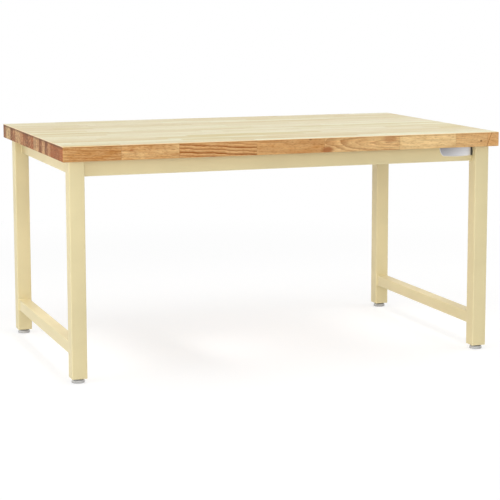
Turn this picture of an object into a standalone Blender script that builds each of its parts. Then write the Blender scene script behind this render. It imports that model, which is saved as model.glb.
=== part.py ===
"""Steel-framed workbench with a butcher-block worktop and screw-adjusted feet.

Metres, +Z up. The origin lies on the floor under the middle of the worktop, +X runs along the
bench to the right of someone standing at its front, and -Y is the front. At rest the levelling
feet are screwed right in.
"""

import math
from typing import NamedTuple

import bmesh
import bpy
from mathutils import Matrix, Vector

# Gap kept between pieces that touch
FIT = 0.0003

# Worktop
TOP_LENGTH = 1.524
TOP_DEPTH = 0.9144
TOP_THICKNESS = 0.049
TOP_EASING = 0.002        # rounding along the worktop's edges
TOP_OVERHANG = 0.025      # worktop past the legs' outer faces, on all four sides
BENCH_HEIGHT = 0.762      # floor to the worktop's upper face

# Legs, square tube
LEG_SIZE = 0.050
LEG_WALL = 0.002
LEG_CORNER = 0.003        # outside corner radius
LEG_CLEARANCE = 0.0025    # leg's lower end above the pad

# Lower rails, square tube between the two legs of one side
LOWER_RAIL_WIDTH = 0.040
LOWER_RAIL_HEIGHT = 0.040
LOWER_RAIL_WALL = 0.002
LOWER_RAIL_CORNER = 0.003
LOWER_RAIL_LIFT = 0.087   # floor to the rail's underside

# Upper rails and aprons, folded channel whose flanges end flush with the legs' inner faces
CHANNEL_HEIGHT = 0.052
CHANNEL_FLANGE = 0.025
CHANNEL_SHEET = 0.002
CHANNEL_BEND = 0.003      # outside bend radius

# Blank plate on the front apron, beside the right front leg
PLATE_LENGTH = 0.125
PLATE_HEIGHT = 0.030
PLATE_THICKNESS = 0.0012
PLATE_ROUNDING = 0.018    # how far its rounded left end reaches along the plate
PLATE_BOW = 0.002         # how far its lower edge bows down
PLATE_DROP = 0.003        # plate's upper edge below the apron's

# Levelling feet
PAD_RADIUS = 0.0215
PAD_HEIGHT = 0.0125
PAD_RIM = 0.0060          # upright rim under the pad's domed upper side
PAD_CHAMFER = 0.0008
PAD_CROWN = 0.0110        # radius of the flat crown under the collar
PAD_FLOOR = 0.003         # thickness under the stud's pocket
STUD_RADIUS = 0.005
STUD_LENGTH = 0.055
STUD_TIP = 0.001
COLLAR_FLATS = 0.017      # across the flats of the stud's hexagon collar
COLLAR_HEIGHT = 0.005
SOCKET_PLATE = 0.004      # plate welded inside the leg's lower end
BUSH_RADIUS = 0.009
BUSH_HEIGHT = 0.016       # threaded bush above that plate

# Apron bolts and their nuts
BOLT_RADIUS = 0.004
BOLT_FLATS = 0.013
BOLT_HEAD = 0.0055
BOLT_WASHER_RADIUS = 0.008
BOLT_WASHER = 0.0012
BOLT_PROTRUSION = 0.003   # shank past the nut
NUT_HEIGHT = 0.0065

# Worktop screws, up through the top flanges
SCREW_RADIUS = 0.003
SCREW_FLATS = 0.010
SCREW_HEAD = 0.0045
SCREW_WASHER_RADIUS = 0.007
SCREW_WASHER = 0.0012
SCREW_REACH = 0.030       # into the worktop
SCREW_TIP = 0.007         # tapered point
SCREW_END_INSET = 0.150   # end screws in from the ends of their channel

# How finely round shapes are faceted
CORNER_STEPS = 3          # along each rounded corner of a tube
BEND_STEPS = 2            # round each fold of a channel
EASING_STEPS = 2          # along the worktop's eased edges
FASTENER_SIDES = 12
PAD_SIDES = 24
DOME_STEPS = 4
PLATE_STEPS = 6
SMOOTH_ANGLE = math.radians(35)

# Sizes that follow from those above
FRAME_LENGTH = TOP_LENGTH - 2 * TOP_OVERHANG
FRAME_DEPTH = TOP_DEPTH - 2 * TOP_OVERHANG
FRAME_TOP = BENCH_HEIGHT - TOP_THICKNESS - FIT
LEG_X = (FRAME_LENGTH - LEG_SIZE) / 2
LEG_Y = (FRAME_DEPTH - LEG_SIZE) / 2
LEG_BOTTOM = PAD_HEIGHT + LEG_CLEARANCE
LEG_BORE = LEG_SIZE - 2 * LEG_WALL
BAY_X = FRAME_LENGTH / 2 - LEG_SIZE          # legs' inner faces, along the bench
BAY_Y = FRAME_DEPTH / 2 - LEG_SIZE           # legs' inner faces, front to back
CHANNEL_X = BAY_X + CHANNEL_FLANGE           # outer faces of the upper rails
CHANNEL_Y = BAY_Y + CHANNEL_FLANGE           # outer faces of the aprons
CHANNEL_BOTTOM = FRAME_TOP - CHANNEL_HEIGHT
CHANNEL_MIDDLE = (CHANNEL_SHEET + CHANNEL_FLANGE) / 2   # middle of the space inside, from its face
APRON_LENGTH = 2 * (BAY_X - FIT)
RAIL_LENGTH = 2 * (BAY_Y - FIT)
COLLAR_BOTTOM = PAD_HEIGHT + FIT
SOCKET_BOTTOM = COLLAR_BOTTOM + COLLAR_HEIGHT + FIT
BOLT_SHANK = FIT + CHANNEL_SHEET + FIT + LEG_WALL + FIT + NUT_HEIGHT + BOLT_PROTRUSION
SCREW_SHANK = FIT + CHANNEL_SHEET + FIT + SCREW_REACH

# Side along X and side along Y of each corner of the bench
CORNERS = {
    "left_front": (-1, -1),
    "left_rear": (-1, 1),
    "right_front": (1, -1),
    "right_rear": (1, 1),
}


class Finish(NamedTuple):
    """Linear colour, roughness and metallic value of a surface."""

    colour: tuple
    roughness: float
    metallic: float


BUTCHER_BLOCK = Finish((0.62, 0.43, 0.23), 0.45, 0.0)
BEIGE_COAT = Finish((0.72, 0.62, 0.36), 0.50, 0.0)
BRIGHT_PLATE = Finish((0.62, 0.62, 0.64), 0.30, 1.0)
ZINC = Finish((0.55, 0.55, 0.53), 0.35, 1.0)
DARK_STEEL = Finish((0.20, 0.20, 0.21), 0.45, 1.0)


class Fastener(NamedTuple):
    """Sizes of a hexagon-headed fastener with a washer face under its head."""

    flats: float
    head: float
    washer_radius: float
    washer: float
    radius: float
    shank: float
    tip: float
    tip_radius: float


HEAD_CHAMFER = 0.0006     # taken off the corners at the top of a hexagon head
BOLT = Fastener(BOLT_FLATS, BOLT_HEAD, BOLT_WASHER_RADIUS, BOLT_WASHER,
                BOLT_RADIUS, BOLT_SHANK, HEAD_CHAMFER, BOLT_RADIUS - HEAD_CHAMFER)
SCREW_POINT = 0.0006      # radius left at the end of a worktop screw
SCREW = Fastener(SCREW_FLATS, SCREW_HEAD, SCREW_WASHER_RADIUS, SCREW_WASHER,
                 SCREW_RADIUS, SCREW_SHANK, SCREW_TIP, SCREW_POINT)


def clear_scene():
    """Remove every object of the scene."""
    for obj in list(bpy.data.objects):
        bpy.data.objects.remove(obj, do_unlink=True)


def add_object(name, bm, finish, location=(0, 0, 0), rotation=(0, 0, 0), parent=None):
    """Turn a bmesh into a named, smooth-shaded object with a material of its own."""
    bmesh.ops.recalc_face_normals(bm, faces=bm.faces)
    mesh = bpy.data.meshes.new(name)
    bm.to_mesh(mesh)
    bm.free()
    mesh.shade_smooth()
    mesh.set_sharp_from_angle(angle=SMOOTH_ANGLE)
    material = bpy.data.materials.new(name + "_finish")
    material.use_nodes = True
    shader = material.node_tree.nodes["Principled BSDF"]
    shader.inputs["Base Color"].default_value = (*finish.colour, 1.0)
    shader.inputs["Roughness"].default_value = finish.roughness
    shader.inputs["Metallic"].default_value = finish.metallic
    mesh.materials.append(material)
    obj = bpy.data.objects.new(name, mesh)
    obj.location = location
    obj.rotation_euler = rotation
    obj.parent = parent
    bpy.context.collection.objects.link(obj)
    return obj


def round_ring(count, radius, z, turn=0.0):
    """Return a circle of points about Z, the first of them turned from +X by an angle."""
    angles = (turn + math.tau * step / count for step in range(count))
    return [Vector((radius * math.cos(a), radius * math.sin(a), z)) for a in angles]


def hexagon_ring(flats, z):
    """Return a hexagon about Z, flats facing +Y and -Y, in as many points as a fastener's circle."""
    sector = math.tau / 6
    points = []
    for step in range(FASTENER_SIDES):
        angle = math.tau * step / FASTENER_SIDES
        reach = flats / 2 / math.cos(angle % sector - sector / 2)
        points.append(Vector((reach * math.cos(angle), reach * math.sin(angle), z)))
    return points


def rectangle_ring(width, depth, corner, z):
    """Return a rectangle about Z with its corners rounded to a radius."""
    points = []
    for quarter, (side_x, side_y) in enumerate(((1, 1), (-1, 1), (-1, -1), (1, -1))):
        centre = Vector((side_x * (width / 2 - corner), side_y * (depth / 2 - corner), z))
        for step in range(CORNER_STEPS + 1):
            angle = (quarter + step / CORNER_STEPS) * math.pi / 2
            points.append(centre + corner * Vector((math.cos(angle), math.sin(angle), 0)))
    return points


def skin(rings, hollow=False):
    """Skin a stack of equal rings, capped at both ends, or closed on itself when it is hollow."""
    bm = bmesh.new()
    loops = [[bm.verts.new(point) for point in ring] for ring in rings]
    pairs = list(zip(loops, loops[1:]))
    if hollow:
        pairs.append((loops[-1], loops[0]))
    else:
        bm.faces.new(loops[0])
        bm.faces.new(loops[-1])
    count = len(loops[0])
    for lower, upper in pairs:
        for i in range(count):
            j = (i + 1) % count
            bm.faces.new((lower[i], lower[j], upper[j], upper[i]))
    return bm


def square_tube(width, depth, wall, corner, length):
    """Return a rounded rectangular tube along +Z, open at both ends."""
    inner_corner = max(corner - wall, wall / 4)
    outside = (width, depth, corner)
    inside = (width - 2 * wall, depth - 2 * wall, inner_corner)
    return skin([
        rectangle_ring(*outside, 0),
        rectangle_ring(*outside, length),
        rectangle_ring(*inside, length),
        rectangle_ring(*inside, 0),
    ], hollow=True)


def folded_channel(name, length, end_tabs, location, turn):
    """Fold a channel whose face looks along -Y before it is turned, with or without end tabs."""
    bm = bmesh.new()
    middle = Matrix.Translation((0, CHANNEL_FLANGE / 2, CHANNEL_HEIGHT / 2))
    bmesh.ops.create_cube(bm, matrix=middle @ Matrix.Diagonal((length, CHANNEL_FLANGE, CHANNEL_HEIGHT, 1)))
    bm.normal_update()
    face = next(f for f in bm.faces if f.normal.y < -0.5)
    ends = [f for f in bm.faces if abs(f.normal.x) > 0.5]
    back = [f for f in bm.faces if f.normal.y > 0.5]
    folds = [e for e in face.edges if end_tabs or not any(f in ends for f in e.link_faces)]
    bmesh.ops.delete(bm, geom=back if end_tabs else back + ends, context="FACES")
    bmesh.ops.bevel(bm, geom=folds, offset=CHANNEL_BEND, segments=BEND_STEPS, profile=0.5, affect="EDGES")
    channel = add_object(name, bm, BEIGE_COAT, location, (0, 0, turn))
    sheet = channel.modifiers.new("sheet", "SOLIDIFY")
    sheet.thickness = CHANNEL_SHEET
    sheet.offset = -1
    sheet.use_even_offset = True
    return channel


def fastener_body(sizes):
    """Return a hexagon-headed fastener: its washer face at Z = 0, its shank along +Z."""
    top = -sizes.head - sizes.washer
    chamfered = sizes.flats - 2 * HEAD_CHAMFER
    return skin([
        hexagon_ring(chamfered, top),
        hexagon_ring(sizes.flats, top + HEAD_CHAMFER),
        hexagon_ring(sizes.flats, -sizes.washer),
        round_ring(FASTENER_SIDES, sizes.washer_radius, -sizes.washer),
        round_ring(FASTENER_SIDES, sizes.washer_radius, 0),
        round_ring(FASTENER_SIDES, sizes.radius, 0),
        round_ring(FASTENER_SIDES, sizes.radius, sizes.shank - sizes.tip),
        round_ring(FASTENER_SIDES, sizes.tip_radius, sizes.shank),
    ])


def drill(obj, radius, places, direction, depth):
    """Cut round holes of one size through an object, centred on world points."""
    bm = bmesh.new()
    turn = Vector(direction).to_track_quat("Z", "Y").to_matrix().to_4x4()
    for place in places:
        bmesh.ops.create_cone(bm, cap_ends=True, segments=FASTENER_SIDES, radius1=radius, radius2=radius,
                              depth=depth, matrix=Matrix.Translation(place) @ turn)
    mesh = bpy.data.meshes.new("drill_" + obj.name)
    bm.to_mesh(mesh)
    bm.free()
    cutter = bpy.data.objects.new(mesh.name, mesh)
    cutter.hide_render = True
    cutter.display_type = "WIRE"
    bpy.context.collection.objects.link(cutter)
    holes = obj.modifiers.new(mesh.name, "BOOLEAN")
    holes.operation = "DIFFERENCE"
    holes.object = cutter


def bolt_heights():
    """Return the heights of an apron end's two bolts, each in the middle of its half of the tab."""
    middle = FRAME_TOP - CHANNEL_HEIGHT / 2
    quarter = (CHANNEL_HEIGHT - 2 * CHANNEL_SHEET) / 4
    return {"lower": middle - quarter, "upper": middle + quarter}


def bolt_y(side_y):
    """Return where an apron's bolts stand, front to back: in the middle of the channel's inside."""
    return side_y * (CHANNEL_Y - CHANNEL_MIDDLE)


def screw_places():
    """Return each channel's worktop screws as points on the screws' axes at the top of the frame."""
    end_x = APRON_LENGTH / 2 - SCREW_END_INSET
    end_y = RAIL_LENGTH / 2 - SCREW_END_INSET
    x = CHANNEL_X - CHANNEL_MIDDLE
    y = CHANNEL_Y - CHANNEL_MIDDLE
    return {
        "front": [Vector((along, -y, FRAME_TOP)) for along in (-end_x, 0, end_x)],
        "rear": [Vector((along, y, FRAME_TOP)) for along in (-end_x, 0, end_x)],
        "left": [Vector((-x, along, FRAME_TOP)) for along in (-end_y, end_y)],
        "right": [Vector((x, along, FRAME_TOP)) for along in (-end_y, end_y)],
    }


def make_worktop():
    """Make the butcher-block slab, with a blind pilot hole for every worktop screw."""
    bm = bmesh.new()
    bmesh.ops.create_cube(bm, matrix=Matrix.Diagonal((TOP_LENGTH, TOP_DEPTH, TOP_THICKNESS, 1)))
    worktop = add_object("worktop", bm, BUTCHER_BLOCK, (0, 0, BENCH_HEIGHT - TOP_THICKNESS / 2))
    easing = worktop.modifiers.new("easing", "BEVEL")
    easing.width = TOP_EASING
    easing.segments = EASING_STEPS
    depth = 2 * (SCREW_REACH + FIT)
    underside = Vector((0, 0, FIT))
    places = [place + underside for row in screw_places().values() for place in row]
    drill(worktop, SCREW_RADIUS + FIT, places, (0, 0, 1), depth)


def make_legs():
    """Make the four legs, each with two bolt holes in the wall that its apron meets."""
    length = FRAME_TOP - LEG_BOTTOM
    for corner, (side_x, side_y) in CORNERS.items():
        bm = square_tube(LEG_SIZE, LEG_SIZE, LEG_WALL, LEG_CORNER, length)
        leg = add_object(corner + "_leg", bm, BEIGE_COAT, (side_x * LEG_X, side_y * LEG_Y, LEG_BOTTOM))
        wall_x = side_x * (BAY_X + LEG_WALL / 2)
        places = [Vector((wall_x, bolt_y(side_y), z)) for z in bolt_heights().values()]
        drill(leg, BOLT_RADIUS + FIT, places, (1, 0, 0), 2 * LEG_WALL)


def make_lower_rails():
    """Make the two square tubes between the front and rear legs, near the floor."""
    height = LOWER_RAIL_LIFT + LOWER_RAIL_HEIGHT / 2
    for side, side_x in (("left", -1), ("right", 1)):
        bm = square_tube(LOWER_RAIL_WIDTH, LOWER_RAIL_HEIGHT, LOWER_RAIL_WALL, LOWER_RAIL_CORNER,
                         RAIL_LENGTH)
        place = (side_x * LEG_X, -RAIL_LENGTH / 2, height)
        add_object(side + "_lower_rail", bm, BEIGE_COAT, place, (-math.pi / 2, 0, 0))


def make_upper_rails():
    """Make the two channels welded between the front and rear legs, under the worktop."""
    for side, side_x in (("left", -1), ("right", 1)):
        place = (side_x * CHANNEL_X, 0, CHANNEL_BOTTOM)
        rail = folded_channel(side + "_upper_rail", RAIL_LENGTH, False, place, side_x * math.pi / 2)
        drill(rail, SCREW_RADIUS + FIT, screw_places()[side], (0, 0, 1), 4 * CHANNEL_SHEET)


def make_aprons():
    """Make the front and rear channels, whose folded end tabs are bolted to the legs."""
    for side, side_y, turn in (("front", -1, 0), ("rear", 1, math.pi)):
        place = (0, side_y * CHANNEL_Y, CHANNEL_BOTTOM)
        apron = folded_channel(side + "_apron", APRON_LENGTH, True, place, turn)
        drill(apron, SCREW_RADIUS + FIT, screw_places()[side], (0, 0, 1), 4 * CHANNEL_SHEET)
        tab_x = APRON_LENGTH / 2 - CHANNEL_SHEET / 2
        places = [Vector((side_x * tab_x, bolt_y(side_y), z))
                  for side_x in (-1, 1) for z in bolt_heights().values()]
        drill(apron, BOLT_RADIUS + FIT, places, (1, 0, 0), 2 * CHANNEL_SHEET)


def make_apron_fasteners():
    """Make the bolts through the aprons' end tabs and the nuts inside the legs."""
    seat = APRON_LENGTH / 2 - CHANNEL_SHEET - FIT
    nut_seat = BAY_X + LEG_WALL + FIT
    bore = BOLT_RADIUS + FIT
    for corner, (side_x, side_y) in CORNERS.items():
        turn = (0, side_x * math.pi / 2, 0)
        for level, z in bolt_heights().items():
            place = (side_x * seat, bolt_y(side_y), z)
            add_object(f"{corner}_apron_bolt_{level}", fastener_body(BOLT), ZINC, place, turn)
            nut = skin([
                hexagon_ring(BOLT_FLATS, 0),
                hexagon_ring(BOLT_FLATS, NUT_HEIGHT),
                round_ring(FASTENER_SIDES, bore, NUT_HEIGHT),
                round_ring(FASTENER_SIDES, bore, 0),
            ], hollow=True)
            place = (side_x * nut_seat, bolt_y(side_y), z)
            add_object(f"{corner}_apron_nut_{level}", nut, ZINC, place, turn)


def make_top_screws():
    """Make the screws that hold the worktop down, heads under the channels' top flanges."""
    drop = Vector((0, 0, CHANNEL_SHEET + FIT))
    for side, places in screw_places().items():
        for number, place in enumerate(places, start=1):
            add_object(f"{side}_top_screw_{number}", fastener_body(SCREW), ZINC, place - drop)


def make_name_plate():
    """Make the blank plate: square at the leg, rounded at its far end, bowed along its lower edge."""
    left = -PLATE_LENGTH
    foot = left + PLATE_ROUNDING
    outline = [(0, 0)]
    for step in range(PLATE_STEPS + 1):
        angle = step / PLATE_STEPS * math.pi / 2
        outline.append((foot - PLATE_ROUNDING * math.cos(angle), -PLATE_HEIGHT * math.sin(angle)))
    for step in range(1, PLATE_STEPS + 1):
        share = step / PLATE_STEPS
        outline.append((foot * (1 - share), -PLATE_HEIGHT - PLATE_BOW * math.sin(math.pi * share)))
    bm = skin([[Vector((x, y, z)) for x, z in outline] for y in (0, -PLATE_THICKNESS)])
    place = (BAY_X - FIT, -CHANNEL_Y - FIT, FRAME_TOP - PLATE_DROP)
    add_object("name_plate", bm, BRIGHT_PLATE, place)


def pad_body():
    """Return a pressed glide: chamfered foot, upright rim, dome, flat crown and a pocket for the stud."""
    pocket = STUD_RADIUS + FIT
    profile = [(PAD_RADIUS - PAD_CHAMFER, 0), (PAD_RADIUS, PAD_CHAMFER), (PAD_RADIUS, PAD_RIM)]
    for step in range(1, DOME_STEPS + 1):
        angle = step / DOME_STEPS * math.pi / 2
        radius = PAD_CROWN + (PAD_RADIUS - PAD_CROWN) * math.cos(angle)
        profile.append((radius, PAD_RIM + (PAD_HEIGHT - PAD_RIM) * math.sin(angle)))
    profile += [(pocket, PAD_HEIGHT), (pocket, PAD_FLOOR)]
    return skin([round_ring(PAD_SIDES, radius, z) for radius, z in profile])


def stud_body():
    """Return a levelling screw: its end in the pad, a hexagon collar and the plain core of its thread."""
    start = PAD_FLOOR + FIT
    collar_top = COLLAR_BOTTOM + COLLAR_HEIGHT
    end = start + STUD_LENGTH
    return skin([
        round_ring(FASTENER_SIDES, STUD_RADIUS, start),
        round_ring(FASTENER_SIDES, STUD_RADIUS, COLLAR_BOTTOM),
        hexagon_ring(COLLAR_FLATS, COLLAR_BOTTOM),
        hexagon_ring(COLLAR_FLATS, collar_top),
        round_ring(FASTENER_SIDES, STUD_RADIUS, collar_top),
        round_ring(FASTENER_SIDES, STUD_RADIUS, end - STUD_TIP),
        round_ring(FASTENER_SIDES, STUD_RADIUS - STUD_TIP, end),
    ])


def socket_body():
    """Return the plate and threaded bush that close a leg's lower end, bored for the stud."""
    plate = LEG_BORE - 2 * FIT
    corner = max(LEG_CORNER - LEG_WALL, LEG_WALL / 4) + FIT
    count = 4 * (CORNER_STEPS + 1)
    half_step = math.pi / count
    top = SOCKET_PLATE + BUSH_HEIGHT
    bore = STUD_RADIUS + FIT
    return skin([
        rectangle_ring(plate, plate, corner, 0),
        rectangle_ring(plate, plate, corner, SOCKET_PLATE),
        round_ring(count, BUSH_RADIUS, SOCKET_PLATE, half_step),
        round_ring(count, BUSH_RADIUS, top, half_step),
        round_ring(count, bore, top, half_step),
        round_ring(count, bore, 0, half_step),
    ], hollow=True)


def make_feet():
    """Make each leg's socket, and its pad and stud on an empty that stands on the screw's axis."""
    for corner, (side_x, side_y) in CORNERS.items():
        x = side_x * LEG_X
        y = side_y * LEG_Y
        add_object(corner + "_socket", socket_body(), DARK_STEEL, (x, y, SOCKET_BOTTOM))
        axis = bpy.data.objects.new(corner + "_foot_axis", None)
        axis.location = (x, y, 0)
        bpy.context.collection.objects.link(axis)
        add_object(corner + "_pad", pad_body(), BRIGHT_PLATE, parent=axis)
        add_object(corner + "_stud", stud_body(), ZINC, parent=axis)


def main():
    """Build the bench."""
    clear_scene()
    make_worktop()
    make_legs()
    make_lower_rails()
    make_upper_rails()
    make_aprons()
    make_apron_fasteners()
    make_top_screws()
    make_name_plate()
    make_feet()


main()
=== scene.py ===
"""Looks of a steel-framed workbench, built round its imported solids.

The worktop is a block of glued staves, the frame is powder-coated steel with weld beads, and the feet are
plated glides on threaded studs. Metres, +Z up, the bench's front faces -Y.
"""

import logging
import math
from dataclasses import dataclass, field, replace
from enum import Enum
from typing import Any, Sequence

import bpy
import numpy as np
from mathutils import Matrix, Vector


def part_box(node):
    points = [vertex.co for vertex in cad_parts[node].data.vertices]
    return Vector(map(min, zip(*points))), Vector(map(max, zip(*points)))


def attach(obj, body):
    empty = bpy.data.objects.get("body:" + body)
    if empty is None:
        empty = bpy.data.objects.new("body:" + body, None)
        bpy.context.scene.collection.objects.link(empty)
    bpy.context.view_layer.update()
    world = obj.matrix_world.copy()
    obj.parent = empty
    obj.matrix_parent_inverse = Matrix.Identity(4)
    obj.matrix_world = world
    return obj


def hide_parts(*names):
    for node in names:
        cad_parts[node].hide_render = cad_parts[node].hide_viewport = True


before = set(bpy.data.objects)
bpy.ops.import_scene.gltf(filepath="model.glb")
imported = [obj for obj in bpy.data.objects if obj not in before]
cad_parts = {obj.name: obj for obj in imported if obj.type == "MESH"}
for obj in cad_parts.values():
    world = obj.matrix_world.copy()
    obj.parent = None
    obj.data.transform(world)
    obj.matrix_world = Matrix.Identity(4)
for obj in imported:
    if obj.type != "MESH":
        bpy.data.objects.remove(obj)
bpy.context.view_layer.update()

LOG = logging.getLogger("workbench")

Array = np.ndarray
Colour = tuple[float, float, float]
Place = tuple[float, float, float]
Range = tuple[float, float]
Material = bpy.types.Material
Node = bpy.types.Node
Socket = bpy.types.NodeSocket
Tree = bpy.types.NodeTree

QUARTER_TURN = math.pi / 2
FULL_TURN = 2.0 * math.pi
SMOOTH_ANGLE = math.radians(32.0)
MERGE_DIGITS = 7          # decimals of a metre to which shared points are merged
TOUCHING = 1e-6           # metres within which two places count as one
NO_TURN = np.eye(3)
FRAME_BODY = "frame"
EASING = "easing"         # attribute that says how much a point belongs to an edge
WHITE: Colour = (1.0, 1.0, 1.0)


class Corner(Enum):
    """A corner of the bench: its name as the nodes use it, and -1 at the left end or 1 at the right."""

    LEFT_FRONT = ("left_front", -1)
    LEFT_REAR = ("left_rear", -1)
    RIGHT_FRONT = ("right_front", 1)
    RIGHT_REAR = ("right_rear", 1)

    def __init__(self, label: str, side: int) -> None:
        """Keep the corner's name and its side along X."""
        self.label = label
        self.side = side


class Slot(Enum):
    """Material slots that new pieces take."""

    TIMBER = "butcher_block"
    COAT = "beige_coat"
    PLATE = "bright_plate"
    PLATED = "plated_foot"
    ZINC = "zinc"


class Cut(Enum):
    """How a face of the butcher block cuts its staves; the value is the face's material index."""

    FACE = 0
    EDGE = 1
    END = 2
    UNDERSIDE = 3


class Graph:
    """Adds and links the nodes of one node tree."""

    def __init__(self, tree: Tree) -> None:
        """Keep the node tree that the nodes go into."""
        self.tree = tree

    def fill(self, node: Node, inputs: dict[Any, Any]) -> None:
        """Set a node's inputs.

        Args:
            node: the node.
            inputs: socket to link or value to hold for each input, by the input's name or number.
        """
        for key, value in inputs.items():
            if isinstance(value, Socket):
                self.tree.links.new(value, node.inputs[key])
            else:
                node.inputs[key].default_value = value

    def add(self, kind: str, inputs: dict[Any, Any] | None = None, **settings: Any) -> Any:
        """Add a node.

        Args:
            kind: Blender's name of the node's type.
            inputs: socket or value for each input, by the input's name or number.
            **settings: the node's own properties.

        Returns:
            The new node's outputs.
        """
        node = self.tree.nodes.new(kind)
        for name, value in settings.items():
            setattr(node, name, value)
        self.fill(node, inputs or {})
        return node.outputs

    def math(self, operation: str, *values: Any, clamp: bool = False) -> Socket:
        """Return the result of a Math node on values or sockets."""
        return self.add("ShaderNodeMath", dict(enumerate(values)), operation=operation, use_clamp=clamp)[0]

    def vector(self, operation: str, *values: Any) -> Socket:
        """Return the vector result of a Vector Math node on vectors or sockets."""
        return self.add("ShaderNodeVectorMath", dict(enumerate(values)), operation=operation)[0]

    def measure(self, operation: str, *values: Any) -> Socket:
        """Return the number that a Vector Math node finds for vectors or sockets."""
        return self.add("ShaderNodeVectorMath", dict(enumerate(values)), operation=operation)["Value"]

    def split(self, vector: Socket) -> tuple[Socket, Socket, Socket]:
        """Return the three components of a vector."""
        return tuple(self.add("ShaderNodeSeparateXYZ", {0: vector}))

    def blend(self, factor: Any, first: Any, second: Any, mode: str = "MIX") -> Socket:
        """Return a blend of two colours."""
        inputs = {0: factor, 6: opaque(first), 7: opaque(second)}
        return self.add("ShaderNodeMix", inputs, data_type="RGBA", blend_type=mode, clamp_factor=True)[2]

    def shaded(self, colour: Socket, share: Socket) -> Socket:
        """Return a colour multiplied by a number."""
        grey = self.add("ShaderNodeCombineColor", {0: share, 1: share, 2: share})[0]
        return self.blend(1.0, colour, grey, "MULTIPLY")

    def spread(self, value: Socket, low: float, high: float, to_low: float = 0.0, to_high: float = 1.0,
               smooth: bool = False) -> Socket:
        """Carry a value from one range to another, held at the ends.

        Args:
            value: the value.
            low: low end of the value's range.
            high: high end of the value's range.
            to_low: result at the low end.
            to_high: result at the high end.
            smooth: whether the result eases in and out.

        Returns:
            The result.
        """
        inputs = dict(enumerate((value, low, high, to_low, to_high)))
        kind = "SMOOTHSTEP" if smooth else "LINEAR"
        return self.add("ShaderNodeMapRange", inputs, interpolation_type=kind, clamp=True)[0]

    def noise(self, position: Socket, stretch: Place, detail: float = 2.0, roughness: float = 0.5
              ) -> Socket:
        """Add a noise from 0 to 1.

        Args:
            position: where it is read.
            stretch: its lumps to the metre along each axis.
            detail: its octaves of finer noise.
            roughness: strength of each finer octave.

        Returns:
            The noise.
        """
        place = self.vector("MULTIPLY", position, stretch)
        inputs = {"Vector": place, "Scale": 1.0, "Detail": detail, "Roughness": roughness}
        return self.add("ShaderNodeTexNoise", inputs)[0]

    def attribute(self, name: str) -> Socket:
        """Return a vector stored on the piece's own mesh."""
        return self.add("ShaderNodeAttribute", attribute_name=name)["Vector"]

    def edge(self) -> Socket:
        """Return how much the place belongs to an edge of the piece."""
        return self.split(self.attribute(EASING))[0]

    def position(self) -> Socket:
        """Return the place on the piece, in its own coordinates."""
        return self.add("ShaderNodeTexCoord")["Object"]

    def bump(self, height: Socket, strength: float, distance: float) -> Socket:
        """Return normals bent by a height."""
        return self.add("ShaderNodeBump", {"Height": height, "Strength": strength, "Distance": distance})[0]

    def mixed(self, factor: Socket, first: Socket, second: Socket) -> Socket:
        """Return a mix of two shaders."""
        return self.add("ShaderNodeMixShader", {0: factor, 1: first, 2: second})[0]

    def shown(self) -> Socket:
        """Tell what the camera sees, straight or by way of metal and glass, from what only gives light.

        Returns:
            1 for a ray that is seen and 0 for light.
        """
        path = self.add("ShaderNodeLightPath")
        seen = self.math("MAXIMUM", path["Is Camera Ray"], path["Is Glossy Ray"])
        return self.math("MAXIMUM", seen, path["Is Transmission Ray"])


def opaque(colour: Any) -> Any:
    """Return a colour of three numbers with full opacity, and anything else as it is."""
    return (*colour, 1.0) if isinstance(colour, tuple) and len(colour) == 3 else colour


def new_group(name: str, vectors: Sequence[str], numbers: Sequence[str], results: Sequence[str]
              ) -> tuple[Graph, Any, Node]:
    """Start a shader node group.

    Args:
        name: the group's name.
        vectors: names of the inputs that are vectors.
        numbers: names of the inputs that are numbers.
        results: names of the outputs, which are numbers.

    Returns:
        The group's graph, its inputs as sockets to read, and its output node.
    """
    tree = bpy.data.node_groups.new(name, "ShaderNodeTree")
    for way, kind, labels in (("INPUT", "Vector", vectors), ("INPUT", "Float", numbers),
                              ("OUTPUT", "Float", results)):
        for label in labels:
            tree.interface.new_socket(label, in_out=way, socket_type="NodeSocket" + kind)
    return Graph(tree), tree.nodes.new("NodeGroupInput").outputs, tree.nodes.new("NodeGroupOutput")


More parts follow.
